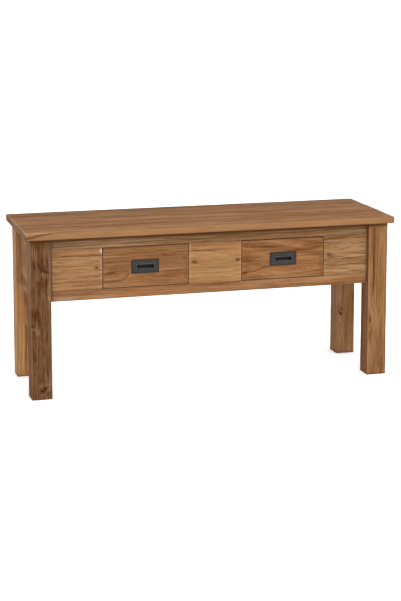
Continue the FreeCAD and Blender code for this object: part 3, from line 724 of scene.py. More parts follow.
board("seat_rear_plank", "seat_rear_board", "X", M_SEAT[2], r=2.4, step=(8, 4.5, 4.5),
      pith=(300.0, -120.0), tilt=(0.012, 0.0), wob=((12.0, 420.0, 70.0), (3.0, 140.0, 26.0)),
      paint=[(0, 176, 480, 1200, 13, 10, (0.74, 0.76, 0.74), 0.95), (-380, 152, 480, 170, 8, 20, (1.02, 1.06, 1.12), 0.8),
             (-420, 122, 480, 170, 12, 20, (0.88, 0.84, 0.74), 0.8), (300, 150, 480, 200, 9, 20, (1.03, 1.04, 1.10), 0.7),
             (60, 155, 480, 160, 14, 20, (0.90, 0.90, 0.88), 0.7), (150, 118, 480, 26, 20, 20, (1.04, 0.93, 0.92), 0.8),
             (-250, 122, 480, 160, 8, 20, (0.92, 0.88, 0.80), 0.7), (228, 86, 480, 24, 18, 20, (0.96, 1.03, 0.98), 0.8),
             (216, 52, 480, 22, 7, 20, (0.86, 0.86, 0.80), 0.8), (110, 84, 480, 26, 14, 20, (0.98, 1.04, 1.0), 0.7),
             (-60, 110, 480, 30, 26, 20, (0.92, 0.97, 0.92), 0.7), (330, 60, 480, 90, 30, 20, (0.90, 0.92, 0.92), 0.7),
             (430, 110, 480, 110, 22, 20, (0.98, 0.94, 0.86), 0.7), (-336, 74, 480, 14, 10, 20, (0.90, 0.87, 0.84), 0.7),
             (-450, 120, 480, 60, 14, 20, (0.98, 0.90, 0.86), 0.7),
             # the entry at x -547 is a painted highlight along the left end's upper arris
             (-549, 121, 470, 4, 90, 14, (1.0, 1.05, 1.16), 0.9), (-547, 121, 479.5, 3.5, 60, 2.4, (1.22, 1.26, 1.32), 0.9)],
      relief=0.24, wear=0.7, seed=8.0,
      shape=seat_shape([(e0[0] + 6.0, e1[1] - 6.0, 6.0, -1, 1), (e1[0] - 6.0, e1[1] - 6.0, 6.0, 1, 1)]))

# ---------------------------------------------------------------------------
# Legs
# ---------------------------------------------------------------------------
M_LEG = {
    "fl": wood("Teak_Leg_Front_Left", "Z", base=(98, 67, 42), d=46, spacing=6.0, short=0.72, fibre=0.27, streak=0.38,
               seed=11.0, rough=(0.55, 0.72),
               edge_col=(168, 138, 110), edge=0.5, cool=(0.95, 0.98, 1.04)),
    "rl": wood("Teak_Leg_Rear_Left", "Z", base=(169, 125, 82), d=44, spacing=7.5,
               seed=14.0, edge_col=(190, 150, 112), edge=0.25),
    "fr": wood("Teak_Leg_Front_Right", "Z", base=(138, 101, 67), d=38, spacing=7.0,
               seed=17.0, edge_col=(190, 154, 118)),
    "rr": wood("Teak_Leg_Rear_Right", "Z", base=(136, 100, 68), d=44, spacing=8.0,
               seed=20.0, edge_col=(168, 138, 106)),
}


def leg(name, node, mat, **kw):
    lo, hi = cad(node)
    kw.setdefault("step", (4.2, 4.2, 5.0))
    kw.setdefault("r", 2.6)

    def shape(P, out, n):
        # the foot's arris is eased less than the others
        out = out.copy()
        h = out[:, 2] - lo[2]
        out[:, 2] = lo[2] + np.where(h < 3.0, h * 0.35, np.where(h < 9.0, 1.05 + (h - 3.0) * (7.95 / 6.0), h))
        return out
    d = list(kw.pop("dirt", ()))
    # darker along the very bottom of each foot
    d.append((lo[0] - 1, lo[1] - 1, -5, hi[0] + 1, hi[1] + 1, 1.6, 2.2, 0.9))
    # front legs: painted shadow line just under the seat's front edge
    if lo[1] < 0:
        d.append((lo[0] - 1, lo[1] - 1, 451.5, hi[0] + 1, lo[1] + 2, 470, 2.0, 0.85))
    return board(name, node, "Z", mat, add=[(*lo, hi[0], hi[1], hi[2])], shape=shape, dirt=d, **kw)


leg("front_left_post", "front_left_leg", M_LEG["fl"],
    pith=(60.0, 62.0), tilt=(0.035, 0.0), wob=((8.0, 260.0, 40.0), (2.2, 90.0, 14.0)),
    fine=((), (), ((372, 30, 2.4), (196, 28, 2.8), (40, 42, 2.6))),
    knots=[(-494, -161, 352, 20, 26, 14, 0), (-523, -161, 196, 12, 20, 11, 0),
           (-497, -161, 34, 15, 30, 15, 0), (-520, -161, 96, 8, 16, 8, 0)],
    pits=[(-492, -161, 362, 4, 1.2), (-500, -161, 40, 6, 1.6), (-488, -161, 20, 5, 1.4), (-508, -161, 22, 3, 1.0),
          (-494, -161, 52, 3, 0.9), (-520, -161, 95, 3, 0.8)],
    cracks=[(((-493, -161, 180), (-493.5, -161, 162)), 1.2, 0.8, 0.9),
            (((-486, -161, 74), (-484, -161, 40)), 1.4, 0.8, 0.6)],
    lines=[(((-515, -161, 400), (-509, -161, 385), (-503, -161, 374), (-492, -161, 368), (-478, -161, 365)), 2.0, (0.60, 0.52, 0.44), 0.9),
           (((-499, -161, 405), (-497, -161, 388), (-493, -161, 370)), 1.6, (0.70, 0.62, 0.52), 0.85),
           (((-486, -161, 410), (-486, -161, 396), (-485, -161, 380)), 2.2, (0.56, 0.46, 0.36), 0.9),
           (((-525, -161, 405), (-524, -161, 390), (-524, -161, 376)), 2.0, (0.68, 0.60, 0.52), 0.85),
           (((-501, -161, 366), (-498, -161, 357), (-497, -161, 347)), 2.0, (1.46, 1.52, 1.5), 0.95),
           (((-488, -161, 362), (-488, -161, 354)), 2.6, (1.26, 1.36, 1.55), 0.85),
           (((-507, -161, 362), (-504, -161, 350), (-507, -161, 338), (-504, -161, 326)), 1.8, (0.66, 0.60, 0.52), 0.85),
           (((-494, -161, 352), (-490, -161, 340), (-492, -161, 322), (-493, -161, 296)), 2.0, (0.66, 0.60, 0.50), 0.85),
           (((-514, -161, 346), (-510, -161, 322), (-512, -161, 300)), 1.6, (0.72, 0.64, 0.58), 0.8),
           (((-528, -161, 330), (-526, -161, 306), (-528, -161, 282)), 1.6, (0.74, 0.68, 0.62), 0.8),
           (((-500, -161, 290), (-502, -161, 262), (-500, -161, 236)), 2.0, (0.70, 0.62, 0.54), 0.8),
           (((-512, -161, 286), (-514, -161, 262), (-510, -161, 240), (-512, -161, 212)), 1.8, (0.70, 0.62, 0.56), 0.8),
           (((-489, -161, 262), (-488, -161, 240), (-490, -161, 214)), 1.8, (0.74, 0.64, 0.56), 0.75),
           (((-502, -161, 212), (-504, -161, 186), (-501, -161, 160)), 2.0, (0.72, 0.66, 0.58), 0.8),
           (((-492, -161, 190), (-492, -161, 164)), 2.2, (0.60, 0.52, 0.44), 0.85),
           (((-507, -161, 206), (-508, -161, 180), (-506, -161, 150)), 1.8, (1.20, 1.20, 1.16), 0.8),
           (((-527, -161, 150), (-524, -161, 120), (-527, -161, 92)), 1.8, (0.74, 0.66, 0.60), 0.8),
           (((-500, -161, 150), (-497, -161, 112), (-499, -161, 76)), 1.8, (0.70, 0.64, 0.56), 0.8),
           (((-511, -161, 140), (-509, -161, 104), (-511, -161, 70)), 1.6, (1.18, 1.16, 1.10), 0.7),
           (((-489, -161, 150), (-488, -161, 110), (-490, -161, 70)), 1.6, (0.76, 0.70, 0.64), 0.75),
           (((-520, -161, 98), (-520, -161, 88)), 2.4, (0.56, 0.46, 0.40), 0.9),
           (((-505, -161, 72), (-507, -161, 50), (-502, -161, 36)), 1.8, (0.68, 0.60, 0.52), 0.8)],
    paint=[(-509, -161, 360, 6, 6, 14, (1.22, 1.24, 1.08), 0.85), (-516, -161, 350, 4, 6, 6, (1.20, 1.14, 1.08), 0.7),
           (-526, -161, 420, 6, 6, 24, (1.18, 1.12, 1.08), 0.75), (-517, -161, 404, 3.4, 6, 22, (1.20, 1.14, 1.08), 0.75),
           (-495, -161, 430, 8, 6, 14, (1.14, 1.10, 1.04), 0.7), (-491, -161, 384, 4, 6, 12, (1.22, 1.12, 1.06), 0.8),
           (-492, -161, 336, 9, 6, 16, (0.84, 0.82, 0.70), 0.75), (-514, -161, 305, 10, 6, 30, (1.02, 0.96, 0.96), 0.6),
           # the narrow strips near x -480 lighten the right arris: wear with painted highlight
           (-482, -161, 292, 3.4, 6, 9, (1.46, 1.50, 1.12), 0.95, True), (-481, -161, 370, 3.2, 9, 80, (1.34, 1.34, 1.30), 0.85),
           (-484, -161, 255, 2.6, 9, 34, (1.26, 1.14, 1.06), 0.8), (-478, -161, 200, 2.0, 9, 90, (1.06, 1.14, 1.22), 0.7),
           (-523, -161, 244, 9, 6, 16, (0.66, 0.61, 0.57), 0.9), (-531, -161, 213, 5, 6, 6, (0.60, 0.48, 0.40), 0.9),
           (-528, -161, 206, 7, 6, 5, (1.34, 1.26, 1.22), 0.9), (-517, -161, 194, 5, 6, 8, (1.34, 1.26, 1.22), 0.85),
           (-524, -161, 196, 4, 6, 5, (0.86, 0.80, 0.78), 0.7), (-526, -161, 184, 8, 6, 5, (0.86, 0.84, 0.84), 0.7),
           (-530, -161, 130, 5, 6, 40, (0.96, 0.86, 0.82), 0.7), (-485, -161, 110, 6, 6, 60, (1.0, 0.96, 0.94), 0.5),
           (-505, -161, 42, 5, 6, 6, (1.30, 1.30, 1.26), 0.8), (-489, -161, 44, 4, 6, 5, (1.40, 1.34, 1.28), 0.8),
           (-486, -161, 28, 5, 6, 6, (1.50, 1.40, 1.34), 0.85), (-500, -161, 14, 6, 6, 8, (1.36, 1.34, 1.28), 0.8),
           (-505, -161, 26, 7, 6, 5, (0.50, 0.40, 0.32), 0.9), (-495, -161, 33, 6, 6, 4, (0.54, 0.44, 0.36), 0.9),
           (-481, -161, 22, 4, 6, 9, (0.50, 0.42, 0.36), 0.85), (-492, -161, 14, 3, 6, 4, (0.62, 0.54, 0.48), 0.8),
           (-526, -161, 30, 8, 6, 26, (0.98, 0.90, 0.84), 0.7), (-508, -161, 446, 40, 8, 11, (0.84, 0.87, 0.80), 0.85),
           # these two entries paint light on to the left side face: lighter above, warmer below
           (-534.6, -130, 400, 1.6, 40, 110, (1.34, 1.35, 1.30), 0.9, True), (-534.6, -130, 130, 1.6, 40, 190, (1.13, 0.99, 0.80), 0.9, True)],
    relief=0.45, wear=1.0, seed=11.0)
leg("rear_left_post", "rear_left_leg", M_LEG["rl"],
    pith=(-40.0, 90.0), tilt=(0.03, 0.0), wob=((7.0, 260.0, 40.0), (1.5, 90.0, 14.0)),
    lines=[(((-504, 99, 190), (-502, 99, 120), (-504, 99, 60), (-501, 99, 10)), 1.6, (1.20, 1.20, 1.16), 0.85),
           (((-508, 99, 160), (-507, 99, 110), (-509, 99, 50)), 1.8, (0.66, 0.58, 0.50), 0.85),
           (((-512, 99, 256), (-508, 99, 236), (-504, 99, 214)), 2.2, (0.72, 0.66, 0.62), 0.85)],
    paint=[(-533, 99, 230, 7, 12, 260, (1.06, 0.98, 0.88), 0.7), (-519, 99, 150, 9, 12, 150, (1.12, 1.13, 1.08), 0.8),
           (-508, 99, 40, 4, 10, 44, (0.66, 0.60, 0.52), 0.8), (-512, 99, 230, 6, 10, 60, (0.90, 0.86, 0.82), 0.7),
           (-490, 99, 200, 14, 10, 200, (0.80, 0.76, 0.72), 0.7), (-501.5, 99, 110, 2.4, 10, 130, (0.66, 0.56, 0.46), 0.85), (-519, 99, 12, 9, 10, 10, (1.02, 0.88, 0.78), 0.8)],
    relief=0.3, wear=0.8, seed=14.0)
leg("front_right_post", "front_right_leg", M_LEG["fr"],
    pith=(30.0, 130.0), tilt=(0.02, 0.0), wob=((7.0, 260.0, 40.0), (2.0, 80.0, 14.0)),
    fine=(((494, 8, 1.6),), (), ((170, 34, 2.8),)),
    knots=[(484, -161, 172, 9, 26, 9, 0)],
    pits=[(484, -161, 174, 3, 0.9)],
    cracks=[(((492.5, -161, 462), (493.5, -161, 420), (492.5, -161, 385)), 1.3, 1.0, 0.95),
            (((492.5, -161, 395), (491.5, -161, 350), (493, -161, 300), (491, -161, 248)), 2.1, 0.9, 0.95),
            (((483.5, -161, 186), (483.5, -161, 174), (485, -161, 160)), 2.3, 1.0, 0.8)],
    lines=[(((508, -161, 206), (507, -161, 196), (509, -161, 186)), 2.0, (0.82, 0.78, 0.70), 0.8),
           (((519, -161, 240), (518, -161, 226)), 1.8, (0.80, 0.76, 0.70), 0.8),
           (((491, -161, 252), (490, -161, 243)), 3.0, (0.74, 0.66, 0.56), 0.9),
           (((522, -161, 60), (523, -161, 34), (522, -161, 12)), 2.6, (0.78, 0.70, 0.60), 0.85),
           (((486, -161, 196), (480, -161, 190)), 2.0, (0.88, 0.82, 0.74), 0.7)],
    lk=1.0,
    paint=[(496, -161, 340, 3, 8, 100, (0.88, 0.82, 0.78), 0.6), (515, -161, 300, 10, 8, 130, (1.0, 0.98, 0.94), 0.6),
           (484, -161, 170, 3.6, 8, 10, (0.60, 0.46, 0.28), 0.95, True), (484, -161, 146, 4, 8, 16, (0.84, 0.78, 0.68), 0.7),
           (505, -161, 350, 34, 8, 110, (0.91, 0.92, 0.94), 0.85),
           (516, -161, 90, 14, 8, 80, (0.97, 0.93, 0.92), 0.6),
           (486, -161, 400, 6, 8, 70, (1.02, 0.98, 0.92), 0.6), (501, -161, 385, 3, 8, 40, (1.06, 0.98, 0.98), 0.7),
           (533, -161, 230, 3, 8, 260, UMBER, 0.7), (500, -161, 110, 20, 8, 120, (1.07, 1.06, 1.0), 0.7),
           # these two entries paint shade on to the left side face, deepest near its rear edge
           (476, -108, 200, 5, 14, 300, (0.66, 0.58, 0.56), 0.8),
           (476, -131, 200, 1.5, 36, 400, (0.90, 0.77, 0.62), 0.9, True)],
    relief=0.35, wear=0.9, seed=17.0)
leg("rear_right_post", "rear_right_leg", M_LEG["rr"],
    pith=(70.0, 90.0), tilt=(-0.03, 0.0), wob=((8.0, 260.0, 40.0), (2.0, 80.0, 14.0)),
    fine=((), (), ((132, 40, 2.8),)),
    knots=[(489, 99, 133, 12, 26, 9, 0)],
    pits=[(490, 99, 129, 3.4, 0.7)],
    lines=[(((479, 99, 138), (484, 99, 132), (490, 99, 126), (497, 99, 132)), 2.6, (0.44, 0.44, 0.34), 0.95),
           (((484, 99, 140), (490, 99, 147), (496, 99, 140)), 2.2, (0.62, 0.60, 0.50), 0.9),
           (((496, 99, 230), (493, 99, 180), (489, 99, 154), (480, 99, 143)), 2.0, (0.82, 0.78, 0.68), 0.8),
           (((479, 99, 132), (486, 99, 118), (494, 99, 96), (495, 99, 60)), 2.0, (1.16, 1.14, 1.10), 0.8)],
    paint=[(484, 99, 190, 9, 10, 50, (1.14, 1.14, 1.10), 0.75), (484, 99, 70, 10, 10, 56, (1.14, 1.12, 1.10), 0.75),
           (512, 99, 160, 19, 10, 130, (0.86, 0.85, 0.76), 0.8), (492, 99, 141, 6, 8, 6, (0.80, 0.83, 0.75), 0.8), (489, 99, 127, 4.5, 8, 3.6, (0.60, 0.52, 0.36), 0.95, True),
           (529.5, 99, 120, 1.6, 10, 130, (0.62, 0.56, 0.46), 0.85),
           # painted shade on the left side face
           (476, 130, 200, 2, 36, 400, (0.97, 0.91, 0.82), 0.9, True)],
    relief=0.35, wear=0.9, seed=20.0)

# ---------------------------------------------------------------------------
# Rails, aprons and panels
# ---------------------------------------------------------------------------
M_RAIL = {
    "up": wood("Teak_Upper_Rail", "X", base=(116, 87, 59), d=40, spacing=6.0,
               seed=23.0, edge=0.35),
    "low": wood("Teak_Lower_Rail", "X", base=(138, 99, 66), d=34, spacing=7.5,
                seed=26.0, edge=0.4),
    "rear": wood("Teak_Rear_Apron", "X", base=(151, 104, 65), d=46, spacing=8.0,
                 seed=29.0),
    "side": wood("Teak_Side_Apron", "Y", base=(141, 99, 63), d=44, spacing=7.0,
                 seed=32.0),
}
board("upper_rail", "front_top_rail", "X", M_RAIL["up"], r=1.0, step=(7, 4.5, 4.0),
      add=[(LX1 - 2, F0, Z_HI, RX0 + 2, F1, UND)],
      pith=(60.0, 180.0), tilt=(0.0, 0.012), wob=((6.0, 330.0, 50.0), (1.6, 110.0, 16.0)),
      # the long band at z 445 is painted light that lifts the shade under the seat's overhang
      paint=[(-340, F0, 438, 200, 10, 16, (1.11, 1.10, 1.08), 0.85), (270, F0, 438, 260, 10, 16, (0.93, 0.92, 0.90), 0.85), (0, F0, 445, 2000, 10, 4, (1.05, 1.05, 1.05), 0.7), (0, F0, 429, 2000, 10, 2.4, (1.07, 1.08, 1.08), 0.7), (-60, F0, 437, 160, 10, 8, (1.10, 0.98, 0.90), 0.6), (250, F0, 440, 150, 10, 6, (1.06, 0.98, 0.92), 0.6),
             (-300, F0, 432, 120, 10, 5, (1.10, 1.02, 0.94), 0.6)],
      # painted shade: the shadow line under the seat's front edge, the gap above the panels and the joints at both legs
      dirt=[(-480, -150, 450.6, 480, -140, 470, 2.0, 0.85), (-480, -150, 425.2, 480, -140, 426, 1.3, 0.45),
            (RX0 - 0.4, -150, 400, RX0 + 3, -140, 480, 3.0, 0.8), (LX1 - 3, -150, 400, LX1 + 4.5, -140, 480, 2.0, 0.8)],
      relief=0.22, wear=0.4, seed=23.0)
board("lower_rail", "front_bottom_rail", "X", M_RAIL["low"], r=1.4, step=(6, 4.5, 3.6),
      add=[(LX1 - 2, F0, Z_AB, RX0 + 2, F1, Z_LO)],
      pith=(50.0, -120.0), tilt=(0.0, 0.03), wob=((9.0, 260.0, 40.0), (2.4, 90.0, 14.0)),
      knots=[(-200, F0, 296, 7, 60, 14, 0), (150, F0, 290, 6, 70, 12, 0)],
      lines=[(((-474, F0, 304), (-430, F0, 300), (-390, F0, 296), (-350, F0, 294)), 1.4, (0.92, 0.89, 0.84), 0.8),
             (((-474, F0, 296), (-420, F0, 290), (-380, F0, 287)), 1.4, (0.93, 0.90, 0.85), 0.8),
             (((-330, F0, 303), (-240, F0, 304), (-160, F0, 303)), 1.2, (0.86, 0.82, 0.76), 0.7),
             (((-60, F0, 303), (10, F0, 303), (80, F0, 305)), 2.2, (0.74, 0.66, 0.60), 0.85),
             (((-200, F0, 296), (-120, F0, 294), (-60, F0, 292)), 1.4, (0.86, 0.80, 0.74), 0.7),
             (((110, F0, 297), (180, F0, 295), (240, F0, 298)), 1.4, (0.84, 0.78, 0.72), 0.7),
             (((150, F0, 290), (200, F0, 287)), 1.6, (0.80, 0.74, 0.66), 0.7)],
      paint=[(-380, F0, 294, 130, 10, 14, (1.05, 1.05, 1.05), 0.8), (-440, F0, 286, 34, 10, 8, (1.08, 1.14, 1.22), 0.8), (-300, F0, 301, 46, 10, 4, (1.12, 1.02, 1.04), 0.85),
             (-300, F0, 291, 34, 10, 6, (1.04, 1.08, 0.90), 0.85), (-232, F0, 292, 24, 10, 9, (1.12, 1.02, 0.78), 0.85),
             (-180, F0, 288, 46, 10, 6, (1.05, 0.96, 0.88), 0.7), (-120, F0, 300, 50, 10, 5, (1.02, 0.99, 0.94), 0.7),
             (24, F0, 302, 40, 10, 5, (0.84, 0.76, 0.72), 0.85), (-54, F0, 290, 12, 10, 4, (1.10, 0.96, 0.86), 0.8),
             (40, F0, 292, 40, 10, 6, (0.94, 0.94, 0.88), 0.7), (120, F0, 300, 60, 10, 5, (1.10, 1.06, 1.0), 0.8),
             (220, F0, 300, 50, 10, 5, (1.06, 1.0, 0.96), 0.7), (300, F0, 297, 40, 10, 3, (1.12, 1.0, 1.04), 0.85),
             (310, F0, 287, 40, 10, 4, (1.02, 1.08, 0.88), 0.85), (420, F0, 290, 60, 10, 9, (1.02, 0.98, 0.94), 0.8),
             (180, F0, 287, 30, 10, 4, (0.96, 0.92, 0.86), 0.7), (0, F0, 279, 2000, 10, 2.6, (0.72, 0.68, 0.62), 0.85)],
      # painted shade along the joint above the rail and at both legs
      dirt=[(-480, -150, 307, 480, -140, 307.8, 1.2, 0.4),
            (RX0 - 0.4, -150, 270, RX0 + 3, -140, 320, 3.0, 0.8), (LX1 - 3, -150, 270, LX1 + 4.5, -140, 320, 2.0, 0.75)],
      relief=0.25, wear=0.6, seed=26.0)
board("rear_apron_board", "rear_apron", "X", M_RAIL["rear"], r=1.4, step=(8, 5.5, 5.5),
      add=[(LX1 - 2, ra[1], ra[2], RX0 + 2, ra2[1], ra2[2])],
      pith=(-90.0, 30.0), tilt=(0.05, 0.05), wob=((14.0, 330.0, 60.0), (2.4, 120.0, 20.0)),
      knots=[(-170, ra2[1], 360, 16, 60, 20, 5), (240, ra2[1], 400, 12, 50, 18, 4)],
      relief=0.35, wear=0.6, seed=29.0)
board("left_apron_board", "left_side_apron", "Y", M_RAIL["side"], r=1.2, step=(5.5, 6, 5.5),
      add=[(sal[0], fl2[1] - 2, sal[2], sal2[0], rl[1] + 2, sal2[2])],
      pith=(80.0, 40.0), tilt=(0.0, 0.05), wob=((9.0, 330.0, 60.0), (2.0, 120.0, 20.0)),
      # painted shade at the joints with both legs and under the seat
      dirt=[(-560, fl2[1] - 3, 270, -490, fl2[1] + 0.4, 470, 2.6, 0.7), (-560, rl[1] - 0.4, 270, -490, rl[1] + 3, 470, 2.6, 0.7),
            (-560, -200, 458, -490, 200, 470, 6.0, 0.4)],
      relief=0.3, wear=0.5, seed=32.0)
board("right_apron_board", "right_side_apron", "Y", M_RAIL["side"], r=1.2, step=(5.5, 6, 5.5),
      add=[(sar[0], fr2[1] - 2, sar[2], sar2[0], rr_[1] + 2, sar2[2])],
      pith=(-80.0, -60.0), tilt=(0.0, -0.05), wob=((9.0, 330.0, 60.0), (2.0, 120.0, 20.0)),
      knots=[(sar2[0], 20, 370, 14, 40, 16, 4)],
      relief=0.3, wear=0.5, seed=35.0)

M_PANEL = {
    "l": wood("Teak_Left_Panel", "X", base=(148, 110, 75), d=42, spacing=6.0, streak=0.30,
              seed=38.0),
    "m": wood("Teak_Middle_Panel", "X", base=(151, 112, 75), d=32, spacing=7.0, streak=0.26, late=0.45,
              seed=41.0),
    "r": wood("Teak_Right_Panel", "X", base=(141, 107, 74), d=46, spacing=6.0, streak=0.34,
              seed=44.0),
}


def panel(name, node, mat, x0, x1, **kw):
    lo, hi = cad(node)
    ex0 = 2.0 if x0 == LX1 else 0.0
    ex1 = 2.0 if x1 == RX0 else 0.0
    d = list(kw.pop("dirt", ()))
    # painted shade in the joints with both rails, and below at the legs where the panel is set back
    d += [(x0, -150, 425.4, x1, -140, 427, 1.0, 0.5), (x0, -150, 305, x1, -140, 307.5, 1.0, 0.45)]
    if ex0:
        d.append((x0 - 3, -150, 300, x0 + 4.5, -140, 430, 2.0, 0.8))
    if ex1:
        d.append((x1 - 0.4, -150, 300, x1 + 3, -140, 430, 3.0, 0.85))
    kw.setdefault("r", 0.9)
    kw.setdefault("step", (4.5, 5.5, 3.6))
    return board(name, node, "X", mat, add=[(x0 - ex0, F0, Z_LO, x1 + ex1, F1, Z_HI)], dirt=d, **kw)


PEGS = [-343.0, -55.5, 74.5, 356.0]
PEG_Z = 370.0


def peg_pit(x):
    return (x, F0, PEG_Z, 5.0, 0.7)


panel("left_front_panel", "front_left_panel", M_PANEL["l"], LX1, pl2[0] if False else -326.0,
      pith=(40.0, 330.0), tilt=(0.0, 0.03), wob=((5.0, 300.0, 60.0), (1.2, 110.0, 16.0)),
      fine=(((-333, 7, 1.3),), (), ((420, 6, 1.6),)),
      knots=[(-343, F0, 370, -5, 26, 9, 0)],
      pits=[peg_pit(-343.0)], chips=[(-327.5, F0, 420, 3.6, 1.4)], lk=0.62,
      lines=[(((-474, F0, 412), (-440, F0, 408), (-400, F0, 405), (-345, F0, 402)), 1.3, (0.72, 0.66, 0.58), 0.85),
             (((-474, F0, 418), (-400, F0, 420), (-345, F0, 417)), 1.0, (0.78, 0.74, 0.70), 0.8),
             (((-474, F0, 388), (-430, F0, 391), (-380, F0, 392), (-334, F0, 390)), 1.0, (0.72, 0.66, 0.60), 0.8),
             (((-474, F0, 379), (-400, F0, 380), (-350, F0, 383)), 1.0, (0.76, 0.70, 0.64), 0.8),
             (((-474, F0, 366), (-420, F0, 369), (-370, F0, 368)), 1.1, (0.70, 0.62, 0.56), 0.8),
             (((-470, F0, 354), (-400, F0, 357), (-340, F0, 355)), 1.0, (0.74, 0.68, 0.62), 0.8),
             (((-474, F0, 342), (-420, F0, 345), (-360, F0, 342), (-334, F0, 344)), 1.1, (0.70, 0.62, 0.56), 0.85),
             (((-474, F0, 330), (-410, F0, 333), (-340, F0, 330)), 1.0, (0.74, 0.68, 0.62), 0.8),
             (((-474, F0, 319), (-420, F0, 320), (-350, F0, 318)), 1.1, (0.70, 0.64, 0.58), 0.8)],
      # the strip at x -328.5 on the right edge: wear with painted highlight
      paint=[(-328.5, F0, 366, 3.2, 10, 90, (1.10, 1.10, 1.10), 0.9), (-328.4, F0, 419.5, 2.5, 10, 8, (1.40, 1.62, 2.05), 1.0, True),
             (-400, F0, 345, 60, 10, 14, (1.06, 1.04, 0.96), 0.6), (-440, F0, 400, 40, 10, 16, (0.96, 0.97, 0.93), 0.6),
             (-343, F0, 369, 7, 8, 4.4, (0.72, 0.62, 0.48), 0.9, True), (-440, F0, 318, 40, 10, 8, (1.10, 1.02, 0.92), 0.6)],
      # painted shade in the gap beside the left drawer
      dirt=[(-326.2, -150, 305, -325, -140, 428, 0.8, 0.3)],
      relief=0.24, wear=0.4, seed=38.0)
panel("middle_front_panel", "front_middle_panel", M_PANEL["m"], -72.0, 86.0,
      pith=(70.0, 210.0), tilt=(0.0, 0.05), wob=((8.0, 260.0, 50.0), (1.5, 100.0, 16.0)),
      fine=(((-56, 12, 2.2), (75, 10, 2.2)), (), ((370, 12, 2.2),)),
      knots=[(-55.5, F0, 370, 7, 18, 9, 0), (74.5, F0, 370, 6, 16, 8, 0)],
      pits=[peg_pit(-55.5), peg_pit(74.5)], lk=0.7,
      cracks=[(((-70, F0, 405), (-30, F0, 403), (8, F0, 402)), 1.2, 0.25, 0.55)],
      paint=[(-40, F0, 421, 46, 10, 7, (0.93, 0.84, 0.80), 0.85), (50, F0, 421, 46, 10, 6, (0.92, 0.86, 0.80), 0.8),
             (-40, F0, 412, 30, 10, 4, (1.06, 1.06, 1.08), 0.7), (10, F0, 314, 90, 10, 7, (0.93, 0.92, 0.86), 0.7),
             (10, F0, 350, 90, 10, 40, (1.05, 1.06, 0.98), 0.7),
             (-57, F0, 370.5, 8.5, 8, 4.2, (0.62, 0.52, 0.34), 0.95, True), (-48, F0, 366.5, 6, 8, 2.6, (0.80, 0.72, 0.58), 0.85, True),
             (74.5, F0, 370, 7.4, 8, 4.6, (0.58, 0.48, 0.32), 0.95, True), (80.5, F0, 373, 5, 8, 2.2, (0.80, 0.72, 0.58), 0.85, True),
             # the strips along both side edges: wear with painted highlight
             (-69.5, F0, 366, 3, 8, 90, (1.16, 1.16, 1.15), 0.85), (83.5, F0, 366, 3, 8, 90, (1.12, 1.12, 1.10), 0.8)],
      lines=[(((-72, F0, 404.5), (-40, F0, 403.5), (8, F0, 402)), 2.2, (0.58, 0.56, 0.42), 0.9),
             (((8, F0, 404), (50, F0, 401), (84, F0, 402)), 1.2, (0.80, 0.76, 0.70), 0.7),
             (((10, F0, 396), (40, F0, 392), (86, F0, 384)), 1.4, (0.84, 0.80, 0.66), 0.8),
             (((-40, F0, 352), (20, F0, 350), (84, F0, 354)), 1.2, (0.84, 0.78, 0.72), 0.7),
             (((-70, F0, 338), (0, F0, 336), (84, F0, 340)), 1.2, (0.84, 0.80, 0.74), 0.7),
             (((-70, F0, 322), (10, F0, 321), (84, F0, 326)), 1.2, (0.84, 0.80, 0.74), 0.7)],
      # painted shade in the gaps beside both drawers
      dirt=[(-73, -150, 305, -71.8, -140, 428, 0.8, 0.3), (85.8, -150, 305, 87, -140, 428, 0.8, 0.3)],
      relief=0.24, wear=0.4, seed=41.0)
panel("right_front_panel", "front_right_panel", M_PANEL["r"], 339.5, RX0,
      pith=(50.0, 190.0), tilt=(0.0, -0.04), wob=((13.0, 120.0, 40.0), (2.6, 55.0, 14.0)),
      fine=(((355, 12, 2.2),), (), ((370, 12, 2.2), (335, 12, 2.4))),
      knots=[(356, F0, 370, 10, 22, 12, 0), (430, F0, 384, 8, 40, 14, 0)],
      pits=[peg_pit(356.0)], lk=0.82,
      lines=[(((342, F0, 340), (380, F0, 336), (420, F0, 339), (474, F0, 340)), 1.7, (0.60, 0.50, 0.42), 0.95),
             (((342, F0, 330), (380, F0, 327), (420, F0, 326)), 1.4, (0.66, 0.56, 0.48), 0.9),
             (((342, F0, 416), (380, F0, 419), (420, F0, 416), (474, F0, 418)), 1.4, (0.72, 0.66, 0.60), 0.85),
             (((342, F0, 402), (372, F0, 405), (410, F0, 401), (440, F0, 406), (474, F0, 402)), 1.4, (0.74, 0.66, 0.58), 0.85),
             (((368, F0, 390), (400, F0, 387), (430, F0, 392), (474, F0, 388)), 1.4, (0.74, 0.66, 0.60), 0.85),
             (((370, F0, 374), (410, F0, 376), (440, F0, 372), (474, F0, 376)), 1.3, (0.76, 0.68, 0.62), 0.8),
             (((342, F0, 358), (390, F0, 362), (430, F0, 358), (474, F0, 361)), 1.5, (0.70, 0.62, 0.54), 0.85),
             (((380, F0, 349), (430, F0, 350), (474, F0, 348)), 1.2, (0.78, 0.72, 0.66), 0.8)],
      paint=[(391, F0, 317, 60, 10, 8, (1.14, 1.12, 1.0), 0.8), (356, F0, 370, 8.5, 8, 4.6, (0.70, 0.60, 0.48), 0.9, True),
             (366, F0, 366, 7, 8, 2.6, (0.78, 0.70, 0.64), 0.8), (346, F0, 415, 3, 8, 3, (0.66, 0.56, 0.50), 0.8), (400, F0, 420, 70, 10, 5, (0.84, 0.76, 0.68), 0.7),
             (463, F0, 310, 12, 8, 6, OLIVE, 0.8), (350, F0, 395, 20, 8, 12, (1.05, 0.92, 0.84), 0.6),
             (440, F0, 360, 40, 10, 14, (1.08, 1.06, 1.0), 0.6)],
      # painted shade in the gap beside the right drawer
      dirt=[(338.5, -150, 305, 339.7, -140, 428, 0.8, 0.3)],
      relief=0.26, wear=0.4, seed=44.0)

